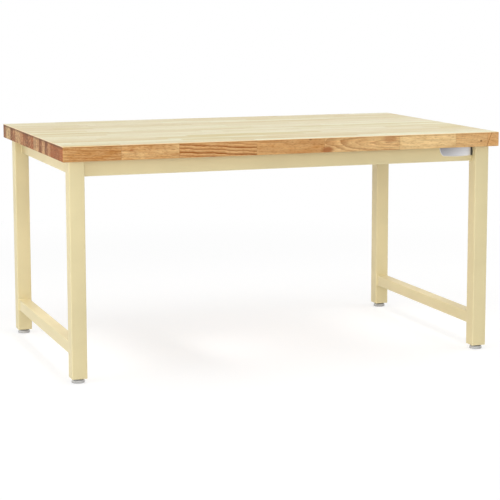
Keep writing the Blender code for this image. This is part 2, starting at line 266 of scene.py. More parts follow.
def stave_grain_group() -> Tree:
    """Build the grain of a sawn stave.

    A ring's number is the distance from the stave's heart, in the plane across the grain and with the heart
    line leaning up and back, plus a slow wander and a quick ripple along the grain, divided by the ring
    pitch. Its fraction runs from pale early wood to a line of late wood, whose depth is drawn for each
    ring. Fibres, flecks, pores and blotches are noises drawn out along X. The cut holds the pitch and both
    leans.

    Returns:
        The group.
    """
    graph, given, result = new_group("stave_grain", ("Position", "Heart", "Cut"), (),
                                     ("Rings", "Fibres", "Flecks", "Pores", "Cloud", "Blotch"))
    pitch, lean_up, lean_back = graph.split(given["Cut"])
    apart = graph.vector("MULTIPLY", given["Heart"], (37.0, 53.0, 71.0))
    place = graph.vector("ADD", given["Position"], apart)
    along, across, up = graph.split(graph.vector("SUBTRACT", given["Position"], given["Heart"]))
    rising = graph.math("MULTIPLY_ADD", along, lean_up, up)
    sinking = graph.math("MULTIPLY_ADD", along, lean_back, across)
    squares = graph.math("ADD", graph.math("POWER", rising, 2.0), graph.math("POWER", sinking, 2.0))
    radius = graph.math("SQRT", squares)
    for stretch, detail, reach in (((3.0, 11.0, 11.0), 3.0, 0.022), ((24.0, 45.0, 45.0), 2.0, 0.009)):
        sway = graph.math("SUBTRACT", graph.noise(place, stretch, detail), 0.5)
        radius = graph.math("MULTIPLY_ADD", sway, reach, radius)
    number = graph.math("DIVIDE", radius, pitch)
    whole = graph.math("FLOOR", number)
    drawn = graph.add("ShaderNodeTexWhiteNoise", {"W": whole}, noise_dimensions="1D")["Value"]
    depth = graph.spread(drawn, 0.0, 1.0, 0.40, 1.15)
    phase = graph.math("FRACT", number)
    rise = graph.math("MULTIPLY", graph.math("POWER", phase, 1.6), depth)
    fall = graph.spread(phase, 0.90, 1.0, 1.0, 0.0, smooth=True)
    flecks = graph.noise(place, (105.0, 380.0, 380.0), 2.0)
    pores = graph.noise(place, (48.0, 950.0, 950.0), 1.0)
    graph.fill(result, {
        "Rings": graph.math("MULTIPLY", rise, fall),
        "Fibres": graph.noise(place, (9.0, 420.0, 420.0), 3.0, 0.6),
        "Flecks": graph.spread(flecks, 0.50, 0.70, smooth=True),
        "Pores": graph.spread(pores, 0.63, 0.72, smooth=True),
        "Cloud": graph.noise(place, (4.0, 22.0, 22.0), 3.0),
        "Blotch": graph.noise(place, (30.0, 55.0, 110.0), 3.0, 0.6),
    })
    return graph.tree


def pin_knot_group() -> Tree:
    """Build a pin knot: 1 at its centre, falling to 0 at its radius, wider along the grain.

    Returns:
        The group.
    """
    graph, given, result = new_group("pin_knot", ("Position", "Centre"), ("Radius",), ("Knot",))
    reach = graph.vector("SUBTRACT", given["Position"], given["Centre"])
    length = graph.measure("LENGTH", graph.vector("MULTIPLY", reach, (0.6, 1.0, 1.0)))
    share = graph.math("DIVIDE", length, given["Radius"])
    graph.fill(result, {"Knot": graph.spread(share, 0.35, 1.0, 1.0, 0.0, smooth=True)})
    return graph.tree


def glue_line_group() -> Tree:
    """Build the glue lines round a stave: 1 within half a millimetre of its ends, and of its long sides.

    The span holds half the stave's length, the middle of its row and half the row's width.

    Returns:
        The group.
    """
    graph, given, result = new_group("glue_line", ("Position", "Heart", "Span"), (), ("Butts", "Rows"))
    along, across, _ = graph.split(given["Position"])
    middle = graph.split(given["Heart"])[0]
    half_length, row_middle, half_width = graph.split(given["Span"])
    for label, place, centre, half in (("Butts", along, middle, half_length),
                                       ("Rows", across, row_middle, half_width)):
        inside = graph.math("SUBTRACT", half, graph.math("ABSOLUTE", graph.math("SUBTRACT", place, centre)))
        graph.fill(result, {label: graph.spread(inside, 0.0002, 0.0006, 1.0, 0.0, smooth=True)})
    return graph.tree


def mottle_group() -> Tree:
    """Build a mottle: slow clouds for tone, and a fine grain of so many lumps to the metre for relief.

    Returns:
        The group.
    """
    graph, given, result = new_group("mottle", ("Position",), ("Lumps",), ("Cloud", "Grain"))
    scaled = {0: given["Position"], "Scale": given["Lumps"]}
    fine = graph.add("ShaderNodeVectorMath", scaled, operation="SCALE")[0]
    cloud = graph.noise(given["Position"], (7.0, 7.0, 7.0), 4.0)
    graph.fill(result, {"Cloud": cloud, "Grain": graph.noise(fine, (1.0, 1.0, 1.0), 2.0)})
    return graph.tree


@dataclass(frozen=True)
class Groups:
    """Node groups that several finishes share."""

    grain: Tree
    knot: Tree
    glue: Tree
    mottle: Tree

    @classmethod
    def build(cls) -> "Groups":
        """Build every shared group once."""
        return cls(stave_grain_group(), pin_knot_group(), glue_line_group(), mottle_group())


def new_material(name: str) -> tuple[Material, Graph, Node]:
    """Start a material.

    Args:
        name: the material's name.

    Returns:
        The material, its graph and its shader.
    """
    material = bpy.data.materials.new(name)
    material.use_nodes = True
    return material, Graph(material.node_tree), material.node_tree.nodes["Principled BSDF"]


@dataclass(frozen=True)
class Stain:
    """A dark spot in the timber: its centre, radius, colour and strength."""

    centre: Place
    radius: float
    colour: Colour
    strength: float


@dataclass(frozen=True)
class Scarf:
    """A slanted glue line: its place along X at a height, slope, half width, full share and strength."""

    place: float
    height: float
    slope: float
    half_width: float
    full_share: float = 0.4
    strength: float = 0.8

    def line(self, graph: Graph, along: Socket, height: Socket) -> Socket:
        """Return the line's strength, which falls to 0 at its half width.

        Args:
            graph: the material's graph.
            along: the place along X.
            height: the place up Z.

        Returns:
            The strength at the place.
        """
        rise = graph.math("SUBTRACT", height, self.height)
        slant = graph.math("MULTIPLY_ADD", rise, self.slope, self.place)
        apart = graph.math("ABSOLUTE", graph.math("SUBTRACT", along, slant))
        full = self.full_share * self.half_width
        return graph.spread(apart, full, self.half_width, self.strength, 0.0, smooth=True)


GLUE_COLOUR: Colour = (0.16, 0.070, 0.022)
GLUE_STRENGTH = 0.45
KNOT_COLOUR: Colour = (0.12, 0.045, 0.016)
RED_HEART: Colour = (0.34, 0.110, 0.030)
PAINTED_RIM_SHADE_TOP = 0.0035          # depth under the upper face at which the painted shade of the dark rim is strongest
SANDED_EDGE_AND_HIGHLIGHT_FADE = 0.0008       # height over which the paler eased edge, sanded wood and painted highlight, fades out
OIL_ROUGHNESS = 0.28
GLOSS_SPREAD = 0.07       # how far the fibres change the timber's roughness
GRAIN_RELIEF = (0.18, 0.0003)


@dataclass(frozen=True)
class TimberFinish:
    """Oiled hardwood: colours from pale to dark, how far its markings show, and its gloss.

    Glue lines are drawn across the grain as butts, along it as rows, or both, as the cut shows them.
    """

    pale: Colour
    deep: Colour
    warm: Colour
    late_wood: Colour
    ring_strength: float
    fleck_strength: float
    pore_strength: float
    fibre_strength: float
    cloud_strength: float
    blotch_strength: float
    roughness: float
    specular: float
    coat: float
    sanded_edge_and_highlight: Colour
    sanded_edge_and_highlight_share: float
    sanded_edge_and_highlight_below: float
    painted_rim_shade: float = 0.0
    painted_rim_shade_depth: float = 0.0075
    glue_lines: tuple[str, ...] = ("Butts", "Rows")
    tint: str = "edge_tint"

    def material(self, name: str, groups: Groups, top: float, stains: Sequence[Stain] = (),
                 scarf: Scarf | None = None) -> Material:
        """Build the finish.

        The tint of a stave holds its tone, its warmth and how strongly its rings show. Eased edges are
        paler down to a depth below the upper face, partly as sanded wood and partly as a painted highlight,
        and the rim is a painted shade, a dark line just under them.

        Args:
            name: the material's name.
            groups: the shared node groups.
            top: height of the worktop's upper face.
            stains: dark spots.
            scarf: a slanted glue line.

        Returns:
            The material.
        """
        material, graph, shader = new_material(name)
        position = graph.position()
        along, _, height = graph.split(position)
        stave = {"Position": position, "Heart": graph.attribute("stave_heart")}
        cut = {**stave, "Cut": graph.attribute("stave_cut")}
        grain = graph.add("ShaderNodeGroup", cut, node_tree=groups.grain)
        colour = self.figured(graph, grain)
        for stain in stains:
            spot = {"Position": position, "Centre": stain.centre, "Radius": stain.radius}
            knot = graph.add("ShaderNodeGroup", spot, node_tree=groups.knot)["Knot"]
            colour = graph.blend(graph.math("MULTIPLY", knot, stain.strength), colour, stain.colour)
        if scarf:
            colour = graph.blend(scarf.line(graph, along, height), colour, self.late_wood)
        span = {**stave, "Span": graph.attribute("stave_span")}
        glue = graph.add("ShaderNodeGroup", span, node_tree=groups.glue)
        lines = graph.math("MAXIMUM", glue[self.glue_lines[0]], glue[self.glue_lines[-1]])
        colour = graph.blend(graph.math("MULTIPLY", lines, GLUE_STRENGTH), colour, GLUE_COLOUR)
        # Painted shade: a dark line just under the eased upper edges.
        rim = graph.spread(height, top - self.painted_rim_shade_depth, top - PAINTED_RIM_SHADE_TOP, 0.0, self.painted_rim_shade, smooth=True)
        colour = graph.blend(rim, colour, self.late_wood)
        # Paler upper eased edges: partly sanded wood, partly a painted highlight where light catches them.
        pale_from = top - self.sanded_edge_and_highlight_below
        upper = graph.spread(height, pale_from - SANDED_EDGE_AND_HIGHLIGHT_FADE, pale_from, 0.0, self.sanded_edge_and_highlight_share)
        colour = graph.blend(graph.math("MULTIPLY", graph.edge(), upper), colour, self.sanded_edge_and_highlight)
        dull, glossy = self.roughness + GLOSS_SPREAD, self.roughness - GLOSS_SPREAD
        relief = graph.math("MULTIPLY_ADD", grain["Pores"], -1.0, grain["Fibres"])
        graph.fill(shader, {
            "Base Color": colour,
            "Roughness": graph.spread(grain["Fibres"], 0.2, 0.8, dull, glossy),
            "Normal": graph.bump(relief, *GRAIN_RELIEF),
            "Specular IOR Level": self.specular,
            "Coat Weight": self.coat,
            "Coat Roughness": OIL_ROUGHNESS,
        })
        return material

    def figured(self, graph: Graph, grain: Any) -> Socket:
        """Colour the timber with its tone, rings, flecks, fibres and pores.

        Args:
            graph: the material's graph.
            grain: outputs of the stave grain.

        Returns:
            The colour.
        """
        tone, warmth, figure = graph.split(graph.attribute(self.tint))
        cloud = graph.spread(grain["Cloud"], 0.25, 0.75, -self.cloud_strength, self.cloud_strength)
        blotch = graph.spread(grain["Blotch"], 0.3, 0.7, -self.blotch_strength, self.blotch_strength)
        uneven = graph.math("ADD", tone, graph.math("ADD", cloud, blotch), clamp=True)
        colour = graph.blend(warmth, graph.blend(uneven, self.pale, self.deep), self.warm)
        broken = graph.spread(grain["Fibres"], 0.3, 0.7, 0.65, 1.2)
        rings = graph.math("MULTIPLY", graph.math("MULTIPLY", grain["Rings"], broken), figure)
        rings = graph.math("MULTIPLY", rings, self.ring_strength, clamp=True)
        speckle = graph.spread(tone, 0.0, 0.6, 0.5 * self.fleck_strength, self.fleck_strength)
        for share in (rings, graph.math("MULTIPLY", grain["Flecks"], speckle)):
            colour = graph.blend(share, colour, self.late_wood)
        darkest, palest = 1.0 - self.fibre_strength, 1.0 + self.fibre_strength
        fibres = graph.spread(grain["Fibres"], 0.3, 0.7, darkest, palest)
        pores = graph.math("MULTIPLY", grain["Pores"], self.pore_strength)
        return graph.blend(pores, graph.shaded(colour, fibres), self.late_wood)


@dataclass(frozen=True)
class Response:
    """A number that follows a noise of the mottle: the noise, its range and the numbers at both ends."""

    noise: str
    span: Range
    numbers: Range

    def of(self, graph: Graph, mottle: Any) -> Socket:
        """Return the number for a mottle placed in a material."""
        return graph.spread(mottle[self.noise], *self.span, *self.numbers)


@dataclass(frozen=True)
class SteelFinish:
    """Coated, plated or bare steel.

    It has a colour, that of its clouds and of its edges, the share of the edge colour and the gloss as
    responses to the mottle, the lumps to the metre of its fine grain, and the relief's strength and depth.
    The edge colour is wear on the coat and zinc, and painted shade on the nickel glides.
    """

    colour: Colour
    cloud_colour: Colour
    edge_colour: Colour
    wear_and_shade: Response
    gloss: Response
    lumps: float
    relief: tuple[float, float]
    metallic: float = 1.0

    def material(self, name: str, groups: Groups) -> Material:
        """Build the finish, with its edge colour where a piece's mesh marks an edge: wear on most pieces,
        painted shade on the glides.

        Args:
            name: the material's name.
            groups: the shared node groups.

        Returns:
            The material.
        """
        material, graph, shader = new_material(name)
        inputs = {"Position": graph.position(), "Lumps": self.lumps}
        mottle = graph.add("ShaderNodeGroup", inputs, node_tree=groups.mottle)
        colour = graph.blend(graph.spread(mottle["Cloud"], 0.3, 0.7), self.colour, self.cloud_colour)
        edge_wear_and_shade = graph.math("MULTIPLY", graph.edge(), self.wear_and_shade.of(graph, mottle))
        graph.fill(shader, {
            "Base Color": graph.blend(edge_wear_and_shade, colour, self.edge_colour),
            "Metallic": self.metallic,
            "Roughness": self.gloss.of(graph, mottle),
            "Normal": graph.bump(mottle["Grain"], *self.relief),
        })
        return material


@dataclass(frozen=True)
class BrushedFinish:
    """Brushed sheet metal whose tone fades from the upper left corner of a plate to the lower right one, a
    painted reflection and shadow.

    The fades hold the share of the whole fade along X, a painted reflection, and up Z, a painted shadow of
    the worktop that is darkest at the top. The end shadow is a dark strip at the right end, a painted
    shadow where the plate meets the leg. The grain of the brush is given by its lumps to the metre and by
    the tones between its lines.
    """

    shaded_end: Colour
    lit_end: Colour
    rim: Colour
    painted_end_shadow_colour: Colour
    painted_end_shadow: float
    painted_end_shadow_strength: float
    painted_light_fades: tuple[float, float]
    brush: Place
    brush_tones: Range
    brush_relief: tuple[float, float]
    lumps: float
    roughness: float
    cloud_roughness: float

    def material(self, name: str, groups: Groups, low: Sequence[float], high: Sequence[float]) -> Material:
        """Build the finish: brush lines along X are a noise drawn out a hundredfold along X.

        Args:
            name: the material's name.
            groups: the shared node groups.
            low: the plate's lowest corner.
            high: the plate's highest corner.

        Returns:
            The material.
        """
        material, graph, shader = new_material(name)
        position = graph.position()
        along, _, height = graph.split(position)
        # Painted reflection and shadow: darker towards the left end, and towards the top under the worktop.
        fade = graph.math("ADD", graph.spread(along, low[0], high[0], 0.0, self.painted_light_fades[0], smooth=True),
                          graph.spread(height, high[2], low[2], 0.0, self.painted_light_fades[1]))
        lines = graph.noise(position, self.brush, 3.0, 0.6)
        colour = graph.blend(fade, self.shaded_end, self.lit_end)
        colour = graph.shaded(colour, graph.spread(lines, 0.3, 0.7, *self.brush_tones))
        colour = graph.blend(graph.edge(), colour, self.rim)
        # Painted shadow: a dark strip at the plate's right end, where it meets the leg.
        start, full = high[0] - self.painted_end_shadow, high[0] - 0.8 * self.painted_end_shadow
        painted_end_shadow = graph.spread(along, start, full, 0.0, self.painted_end_shadow_strength)
        inputs = {"Position": position, "Lumps": self.lumps}
        mottle = graph.add("ShaderNodeGroup", inputs, node_tree=groups.mottle)
        graph.fill(shader, {
            "Base Color": graph.blend(painted_end_shadow, colour, self.painted_end_shadow_colour),
            "Metallic": 1.0,
            "Roughness": graph.math("MULTIPLY_ADD", mottle["Cloud"], self.cloud_roughness, self.roughness),
            "Normal": graph.bump(lines, *self.brush_relief),
        })
        return material


TOP_TIMBER = TimberFinish(
    pale=(0.865, 0.835, 0.57), deep=(0.66, 0.53, 0.19), warm=(0.76, 0.57, 0.34),
    late_wood=(0.52, 0.36, 0.12), ring_strength=0.50, fleck_strength=0.20, pore_strength=0.30,
    fibre_strength=0.08, cloud_strength=0.36, blotch_strength=0.10, roughness=0.42, specular=0.45,
    coat=0.10, sanded_edge_and_highlight=(0.92, 0.72, 0.42), sanded_edge_and_highlight_share=0.7, sanded_edge_and_highlight_below=0.02, tint="upper_tint")
EDGE_TIMBER = TimberFinish(
    pale=(0.87, 0.64, 0.315), deep=(0.44, 0.175, 0.030), warm=(0.66, 0.27, 0.070),
    late_wood=(0.28, 0.085, 0.012), ring_strength=1.00, fleck_strength=0.50, pore_strength=0.45,
    fibre_strength=0.17, cloud_strength=0.24, blotch_strength=0.16, roughness=0.48, specular=0.22, coat=0.0,
    sanded_edge_and_highlight=(0.90, 0.67, 0.36), sanded_edge_and_highlight_share=0.65, sanded_edge_and_highlight_below=0.002, painted_rim_shade=0.30, glue_lines=("Butts",))
UNDER_TIMBER = replace(EDGE_TIMBER, painted_rim_shade=0.0, glue_lines=("Butts", "Rows"))
END_TIMBER = TimberFinish(
    pale=(0.74, 0.515, 0.257), deep=(0.182, 0.066, 0.0225), warm=(0.455, 0.139, 0.038),
    late_wood=(0.070, 0.025, 0.009), ring_strength=1.00, fleck_strength=0.36, pore_strength=0.40,
    fibre_strength=0.20, cloud_strength=0.34, blotch_strength=0.40, roughness=0.58, specular=0.18, coat=0.0,
    sanded_edge_and_highlight=(0.95, 0.74, 0.48), sanded_edge_and_highlight_share=0.80, sanded_edge_and_highlight_below=0.002, painted_rim_shade=0.62, painted_rim_shade_depth=0.011,
    glue_lines=("Rows",), tint="end_tint")
BEIGE_COAT = SteelFinish(
    colour=(0.735, 0.635, 0.365), cloud_colour=(0.68355, 0.59055, 0.33945), edge_colour=(0.77, 0.68, 0.41),
    wear_and_shade=Response("Grain", (0.25, 0.75), (0.35, 0.85)), gloss=Response("Cloud", (0.2, 0.8), (0.38, 0.50)),
    lumps=700.0, relief=(0.22, 0.00018), metallic=0.0)
METAL_WEAR_AND_SHADE = Response("Cloud", (0.3, 0.7), (0.6, 1.0))
# The nickel glides' darker edge colour is painted shade on their foot, rim and lower dome.
NICKEL = SteelFinish(
    colour=(0.86, 0.86, 0.85), cloud_colour=(0.76, 0.755, 0.74), edge_colour=(0.40, 0.395, 0.385),
    wear_and_shade=METAL_WEAR_AND_SHADE, gloss=Response("Grain", (0.25, 0.75), (0.26, 0.42)), lumps=1500.0,
    relief=(0.15, 0.00006), metallic=0.45)
ZINC = SteelFinish(
    colour=(0.60, 0.61, 0.60), cloud_colour=(0.50, 0.49, 0.43), edge_colour=(0.74, 0.74, 0.72),
    wear_and_shade=METAL_WEAR_AND_SHADE, gloss=Response("Grain", (0.25, 0.75), (0.26, 0.46)), lumps=1100.0,
    relief=(0.15, 0.00006))
BARE_STEEL = SteelFinish(
    colour=(0.20, 0.20, 0.21), cloud_colour=(0.13, 0.115, 0.105), edge_colour=(0.20, 0.20, 0.21),
    wear_and_shade=METAL_WEAR_AND_SHADE, gloss=Response("Grain", (0.25, 0.75), (0.38, 0.62)), lumps=800.0,
    relief=(0.15, 0.0001))
BRIGHT_PLATE = BrushedFinish(
    shaded_end=(0.28, 0.275, 0.285), lit_end=(0.82, 0.82, 0.835), rim=(0.92, 0.92, 0.93),
    painted_end_shadow_colour=(0.03, 0.03, 0.03), painted_end_shadow=0.008, painted_end_shadow_strength=0.9, painted_light_fades=(0.6, 0.4),
    brush=(30.0, 3000.0, 3000.0), brush_tones=(0.86, 1.10), brush_relief=(0.12, 0.00005), lumps=400.0,
    roughness=0.30, cloud_roughness=0.12)


def node_box(node: str) -> tuple[Array, Array]:
    """Return a node's lowest and highest corner as arrays."""
    low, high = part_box(node)
    return np.array(low), np.array(high)


def joined(*parts: Any) -> Array:
    """Return arrays of single numbers as one array of points."""
    return np.stack(np.broadcast_arrays(*parts), axis=-1)


def grid_quads(rows: int, columns: int, wrap_rows: bool = False, wrap_columns: bool = False) -> Array:
    """Number the quads of a grid of points, row by row.

    A quad joins point (i, j) with (i, j + 1), (i + 1, j + 1) and (i + 1, j). It faces the side from which
    columns run to the right and rows run up.

    Args:
        rows: number of rows of points.
        columns: number of points in a row.
        wrap_rows: whether the last row joins the first.
        wrap_columns: whether the last column joins the first.

    Returns:
        Point numbers, four to a quad.
    """
    i, j = np.meshgrid(np.arange(rows if wrap_rows else rows - 1),
                       np.arange(columns if wrap_columns else columns - 1), indexing="ij")
    row = i * columns
    next_row = (i + 1) % rows * columns
    next_column = (j + 1) % columns
    return joined(row + j, row + next_column, next_row + next_column, next_row + j).reshape(-1, 4)


def store(mesh: bpy.types.Mesh, name: str, domain: str, vectors: Array) -> None:
    """Store a vector for each point or face of a mesh."""
    stored = mesh.attributes.new(name, "FLOAT_VECTOR", domain)
    stored.data.foreach_set("vector", vectors.astype(np.float32).ravel())


@dataclass
class Shell:
    """A surface before it becomes a mesh: points, faces, and how much each point belongs to an edge."""

    points: Array
    faces: list[list[int]]
    easing: Array

    def moved(self, place: Sequence[float], turn: Array = NO_TURN) -> "Shell":
        """Return the shell turned by a matrix and set down at a place."""
        return Shell(self.points @ turn.T + np.asarray(place), self.faces, self.easing)


@dataclass(frozen=True)
class Piece:
    """Where a finished piece belongs: its name, body, slot and the nodes that it stands for."""

    name: str
    body: str
    slot: Slot
    stands_for: tuple[str, ...] = ()

    def build(self, shell: Shell, *materials: Material) -> bpy.types.Object:
        """Turn a shell into a piece that rides on its body.

        Faces that meet at less than the smooth angle are shaded as one.

        Args:
            shell: the surface.
            *materials: materials for the piece's slots.

        Returns:
            The piece.
        """
        mesh = bpy.data.meshes.new(self.name)
        mesh.from_pydata(shell.points, [], shell.faces)
        store(mesh, EASING, "POINT", joined(shell.easing, 0.0, 0.0))
        for material in materials:
            mesh.materials.append(material)
        mesh.shade_smooth()
        mesh.set_sharp_from_angle(angle=SMOOTH_ANGLE)
        piece = bpy.data.objects.new(self.name, mesh)
        bpy.context.scene.collection.objects.link(piece)
        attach(piece, self.body)
        if self.stands_for:
            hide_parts(*self.stands_for)
        counts = (len(mesh.vertices), len(mesh.polygons))
        LOG.info("%s: %d points, %d faces, rides on %s", self.name, *counts, self.body)
        return piece


def eased_lines(low: float, high: float, easing: Range, inner: Sequence[float], steps: int) -> Array:
    """Return the grid lines of one axis of an eased box.

    On an eased edge the line for an angle a lies at easing times (1 - tan a) from the edge, for angles
    from 0 to 45 degrees, so that the arc between two faces has even steps.

    Args:
        low: the box's low side.
        high: the box's high side.
        easing: radius at the low side and at the high side.
        inner: lines wanted between the easings.
        steps: steps from 0 to 45 degrees.

    Returns:
        The lines in rising order.
    """
    offsets = 1.0 - np.tan(np.linspace(0.0, math.pi / 4, steps + 1))
    at_low = low + easing[0] * offsets[::-1] if easing[0] else np.array([low])
    at_high = high - easing[1] * offsets if easing[1] else np.array([high])
    inner = np.asarray(inner, float)
    kept = inner[(inner > low + easing[0] + TOUCHING) & (inner < high - easing[1] - TOUCHING)]
    return np.concatenate([at_low, np.unique(np.round(kept, MERGE_DIGITS)), at_high])


@dataclass
class EasedBox:
    """A box with rounded edges on a grid of lines, some of its sides left open.

    A point of the sharp box is drawn to the nearest point of the box that lies inside all easings, and set
    at the easing's distance from it. That rounds edges to arcs and corners to parts of a sphere.
    """

    lines: Sequence[Array]
    easing: Array
    open_sides: frozenset[tuple[int, int]] = frozenset()
    points: Array = field(init=False)
    quads: Array = field(init=False)
    centres: Array = field(init=False)
    sides: Array = field(init=False)
    weights: Array = field(init=False)

    def __post_init__(self) -> None:
        """Work out the box's points, quads, flat face centres, sides and edge weights."""
        low = np.array([line[0] for line in self.lines])
        high = np.array([line[-1] for line in self.lines])
        parts = [self.side_grid(axis, side, (low, high)[side][axis]) for axis in range(3) for side in (0, 1)
                 if (axis, side) not in self.open_sides]
        starts = np.cumsum([0] + [len(points) for points, _, _ in parts])
        flat = np.concatenate([points for points, _, _ in parts])
        quads = np.concatenate([quads + start for (_, quads, _), start in zip(parts, starts)])
        self.sides = np.concatenate([np.full(len(quads), side) for _, quads, side in parts])
        flat, merged = np.unique(np.round(flat, MERGE_DIGITS), axis=0, return_inverse=True)
        self.quads = merged.ravel()[quads]
        self.centres = flat[self.quads].mean(axis=1)
        nearest = np.clip(flat, low + self.easing[0], high - self.easing[1])
        reach = flat - nearest
        length = np.linalg.norm(reach, axis=1, keepdims=True)
        radius = np.abs(reach).max(axis=1, keepdims=True)
        arc = np.divide(reach * radius, length, out=np.zeros_like(reach), where=length > 0)
        self.points = nearest + arc
        self.weights = (np.count_nonzero(np.abs(reach) > TOUCHING, axis=1) > 1).astype(float)

    def side_grid(self, axis: int, side: int, level: float) -> tuple[Array, Array, int]:
        """Lay the grid of one side of the sharp box.

        Args:
            axis: axis across the side.
            side: 0 for the low side and 1 for the high side.
            level: the side's place along the axis.

        Returns:
            The grid's points, its quads facing outwards, and the side's number.
        """
        u, v = (axis + 1) % 3, (axis + 2) % 3
        grid = np.empty((len(self.lines[u]), len(self.lines[v]), 3))
        grid[..., u] = self.lines[u][:, None]
        grid[..., v] = self.lines[v][None, :]
        grid[..., axis] = level
        quads = grid_quads(*grid.shape[:2])
        return grid.reshape(-1, 3), quads[:, ::-1] if side else quads, 2 * axis + side

    def shell(self) -> Shell:
        """Return the box as a shell."""
        return Shell(self.points, self.quads.tolist(), self.weights)


CORNER_STEPS = 6          # steps round a rounded corner
DEBURR = 0.0004           # how far a tube's rims are broken
TIGHTEST_CORNER = 0.0005


def rounded_ring(width: float, depth: float, radius: float) -> tuple[Array, Array]:
    """Return a rounded rectangle, anticlockwise from the top of its right side, and its corner weights.

    Each corner is a quarter circle about the corner of the rectangle drawn in by the radius.

    Args:
        width: its size along X.
        depth: its size along Y.
        radius: the corners' radius.

    Returns:
        The outline's points, and how much each belongs to a corner.
    """
    turn = np.linspace(0.0, QUARTER_TURN, CORNER_STEPS + 1)
    angles = np.arange(4)[:, None] * QUARTER_TURN + turn
    centre = np.array([[1, 1], [-1, 1], [-1, -1], [1, -1]]) * (np.array([width, depth]) / 2 - radius)
    arcs = centre[:, None] + radius * joined(np.cos(angles), np.sin(angles))
    return arcs.reshape(-1, 2), np.tile(np.sin(2 * turn), 4)


def stacked(rings: Sequence[Array], heights: Sequence[float], weights: Sequence[Any], hollow: bool
            ) -> Shell:
    """Skin a stack of equal rings.

    Args:
        rings: outlines in the XY plane, anticlockwise.
        heights: level of each ring.
        weights: how much each ring, or each point of it, belongs to an edge.
        hollow: whether the last ring joins the first, as on a tube, or both ends are closed by a face.

    Returns:
        The surface, facing outwards when the rings run upwards on its outside.
    """
    count = len(rings[0])
    levels = np.repeat(np.asarray(heights, float), count)[:, None]
    faces = grid_quads(len(rings), count, wrap_rows=hollow, wrap_columns=True).tolist()
    if not hollow:
        last = (len(rings) - 1) * count
        faces += [list(range(count - 1, -1, -1)), list(range(last, last + count))]
    easing = np.concatenate([np.broadcast_to(weight, count) for weight in weights])
    return Shell(np.hstack([np.concatenate(rings), levels]), faces, easing)


def square_tube(width: float, depth: float, length: float, wall: float, corner: float) -> Shell:
    """Return a tube along +Z with rounded corners and deburred ends.

    The outline is carried up the outside, over the rim and down the inside; at each rim it is drawn in by
    the size of the deburring.

    Args:
        width: its size along X.
        depth: its size along Y.
        length: its size along Z.
        wall: thickness of its wall.
        corner: outer radius of its corners.

    Returns:
        The tube, standing on Z = 0.
    """
    outside, weights = rounded_ring(width, depth, corner)
    rim, _ = rounded_ring(width - 2 * DEBURR, depth - 2 * DEBURR, corner - DEBURR)
    inside, _ = rounded_ring(width - 2 * wall, depth - 2 * wall, max(corner - wall, TIGHTEST_CORNER))
    rings = [rim, outside, outside, rim, inside, inside]
    heights = [0.0, DEBURR, length - DEBURR, length, length, 0.0]
    return stacked(rings, heights, [1.0, weights, weights, 1.0, 0.0, 0.0], hollow=True)


def spun(radius: Array, heights: Array, edges: Array | None = None) -> Shell:
    """Skin rows of points that are spread evenly round the Z axis.

    Args:
        radius: distance of each point from the axis, rows by points.
        heights: level of each row, running up the outside.
        edges: how much each row belongs to an edge.

    Returns:
        The surface, closed at both ends.
    """
    rows, sides = radius.shape
    angle = np.arange(sides) * FULL_TURN / sides
    rings = joined(radius * np.cos(angle), radius * np.sin(angle))
    return stacked(list(rings), heights, np.zeros(rows) if edges is None else edges, hollow=False)


def hexagon(sides: int) -> Array:
    """Return the distance of points round a hexagon from its middle, in half widths across flats.

    It is one over the cosine of the angle from the middle of the nearest flat.

    Args:
        sides: points in a whole turn.

    Returns:
        The distances.
    """
    sector = FULL_TURN / 6
    return 1.0 / np.cos(np.arange(sides) * FULL_TURN / sides % sector - sector / 2)


@dataclass(frozen=True)
class EdgeBlock:
    """A block of the worktop's front edge: its right end, tint and the way that it was sawn.

    The heart is the pith's place back from and above the middle of the front edge, the lean is the pith's
    slope up and back along the block, and the pitch is the spacing of the rings.
    """

    end: float
    tone: float
    warmth: float
    figure: float
    pitch: float
    heart: tuple[float, float]
    lean: tuple[float, float]


FRONT_BLOCKS = (
    EdgeBlock(-0.574, 0.61, 0.05, 0.85, 0.0075, (0.030, -0.090), (0.03, 0.0)),
    EdgeBlock(-0.383, 0.57, 0.05, 0.30, 0.0120, (0.060, 0.050), (0.10, 0.05)),
    EdgeBlock(-0.121, 0.38, 0.38, 1.50, 0.0104, (0.020, 0.150), (0.055, 0.03)),
    EdgeBlock(0.117, 0.48, 0.26, 0.45, 0.0140, (0.090, 0.040), (0.12, 0.0)),
    EdgeBlock(0.389, 0.18, 0.20, 0.75, 0.0085, (0.014, 0.004), (0.03, 0.15)),
    EdgeBlock(0.598, 0.15, 0.08, 0.20, 0.0150, (0.080, 0.070), (0.15, 0.0)),
    EdgeBlock(0.718, 0.28, 0.24, 0.35, 0.0110, (0.070, -0.050), (0.25, 0.0)),
    EdgeBlock(0.762, 0.22, 0.42, 0.30, 0.0130, (0.040, 0.060), (0.45, 0.0)),
)


class EndTone(Enum):
    """Tone and warmth of a stave's left end."""

    PALE = (0.20, 0.06)
    TAN = (0.28, 0.20)
    ROSE = (0.22, 0.30)
    HONEY = (0.36, 0.56)
    AMBER = (0.66, 0.84)
    BROWN = (0.74, 0.40)
    RUSSET = (0.96, 0.60)
    DARK = (1.00, 0.22)


# Left ends of the staves, from the front of the bench to its back
LEFT_ENDS = (
    EndTone.AMBER, EndTone.RUSSET, EndTone.RUSSET, EndTone.RUSSET, EndTone.HONEY, EndTone.DARK,
    EndTone.ROSE, EndTone.DARK, EndTone.ROSE, EndTone.TAN, EndTone.RUSSET, EndTone.BROWN, EndTone.DARK,
    EndTone.BROWN, EndTone.HONEY, EndTone.TAN, EndTone.TAN, EndTone.BROWN, EndTone.DARK, EndTone.PALE,
    EndTone.PALE, EndTone.DARK,
)

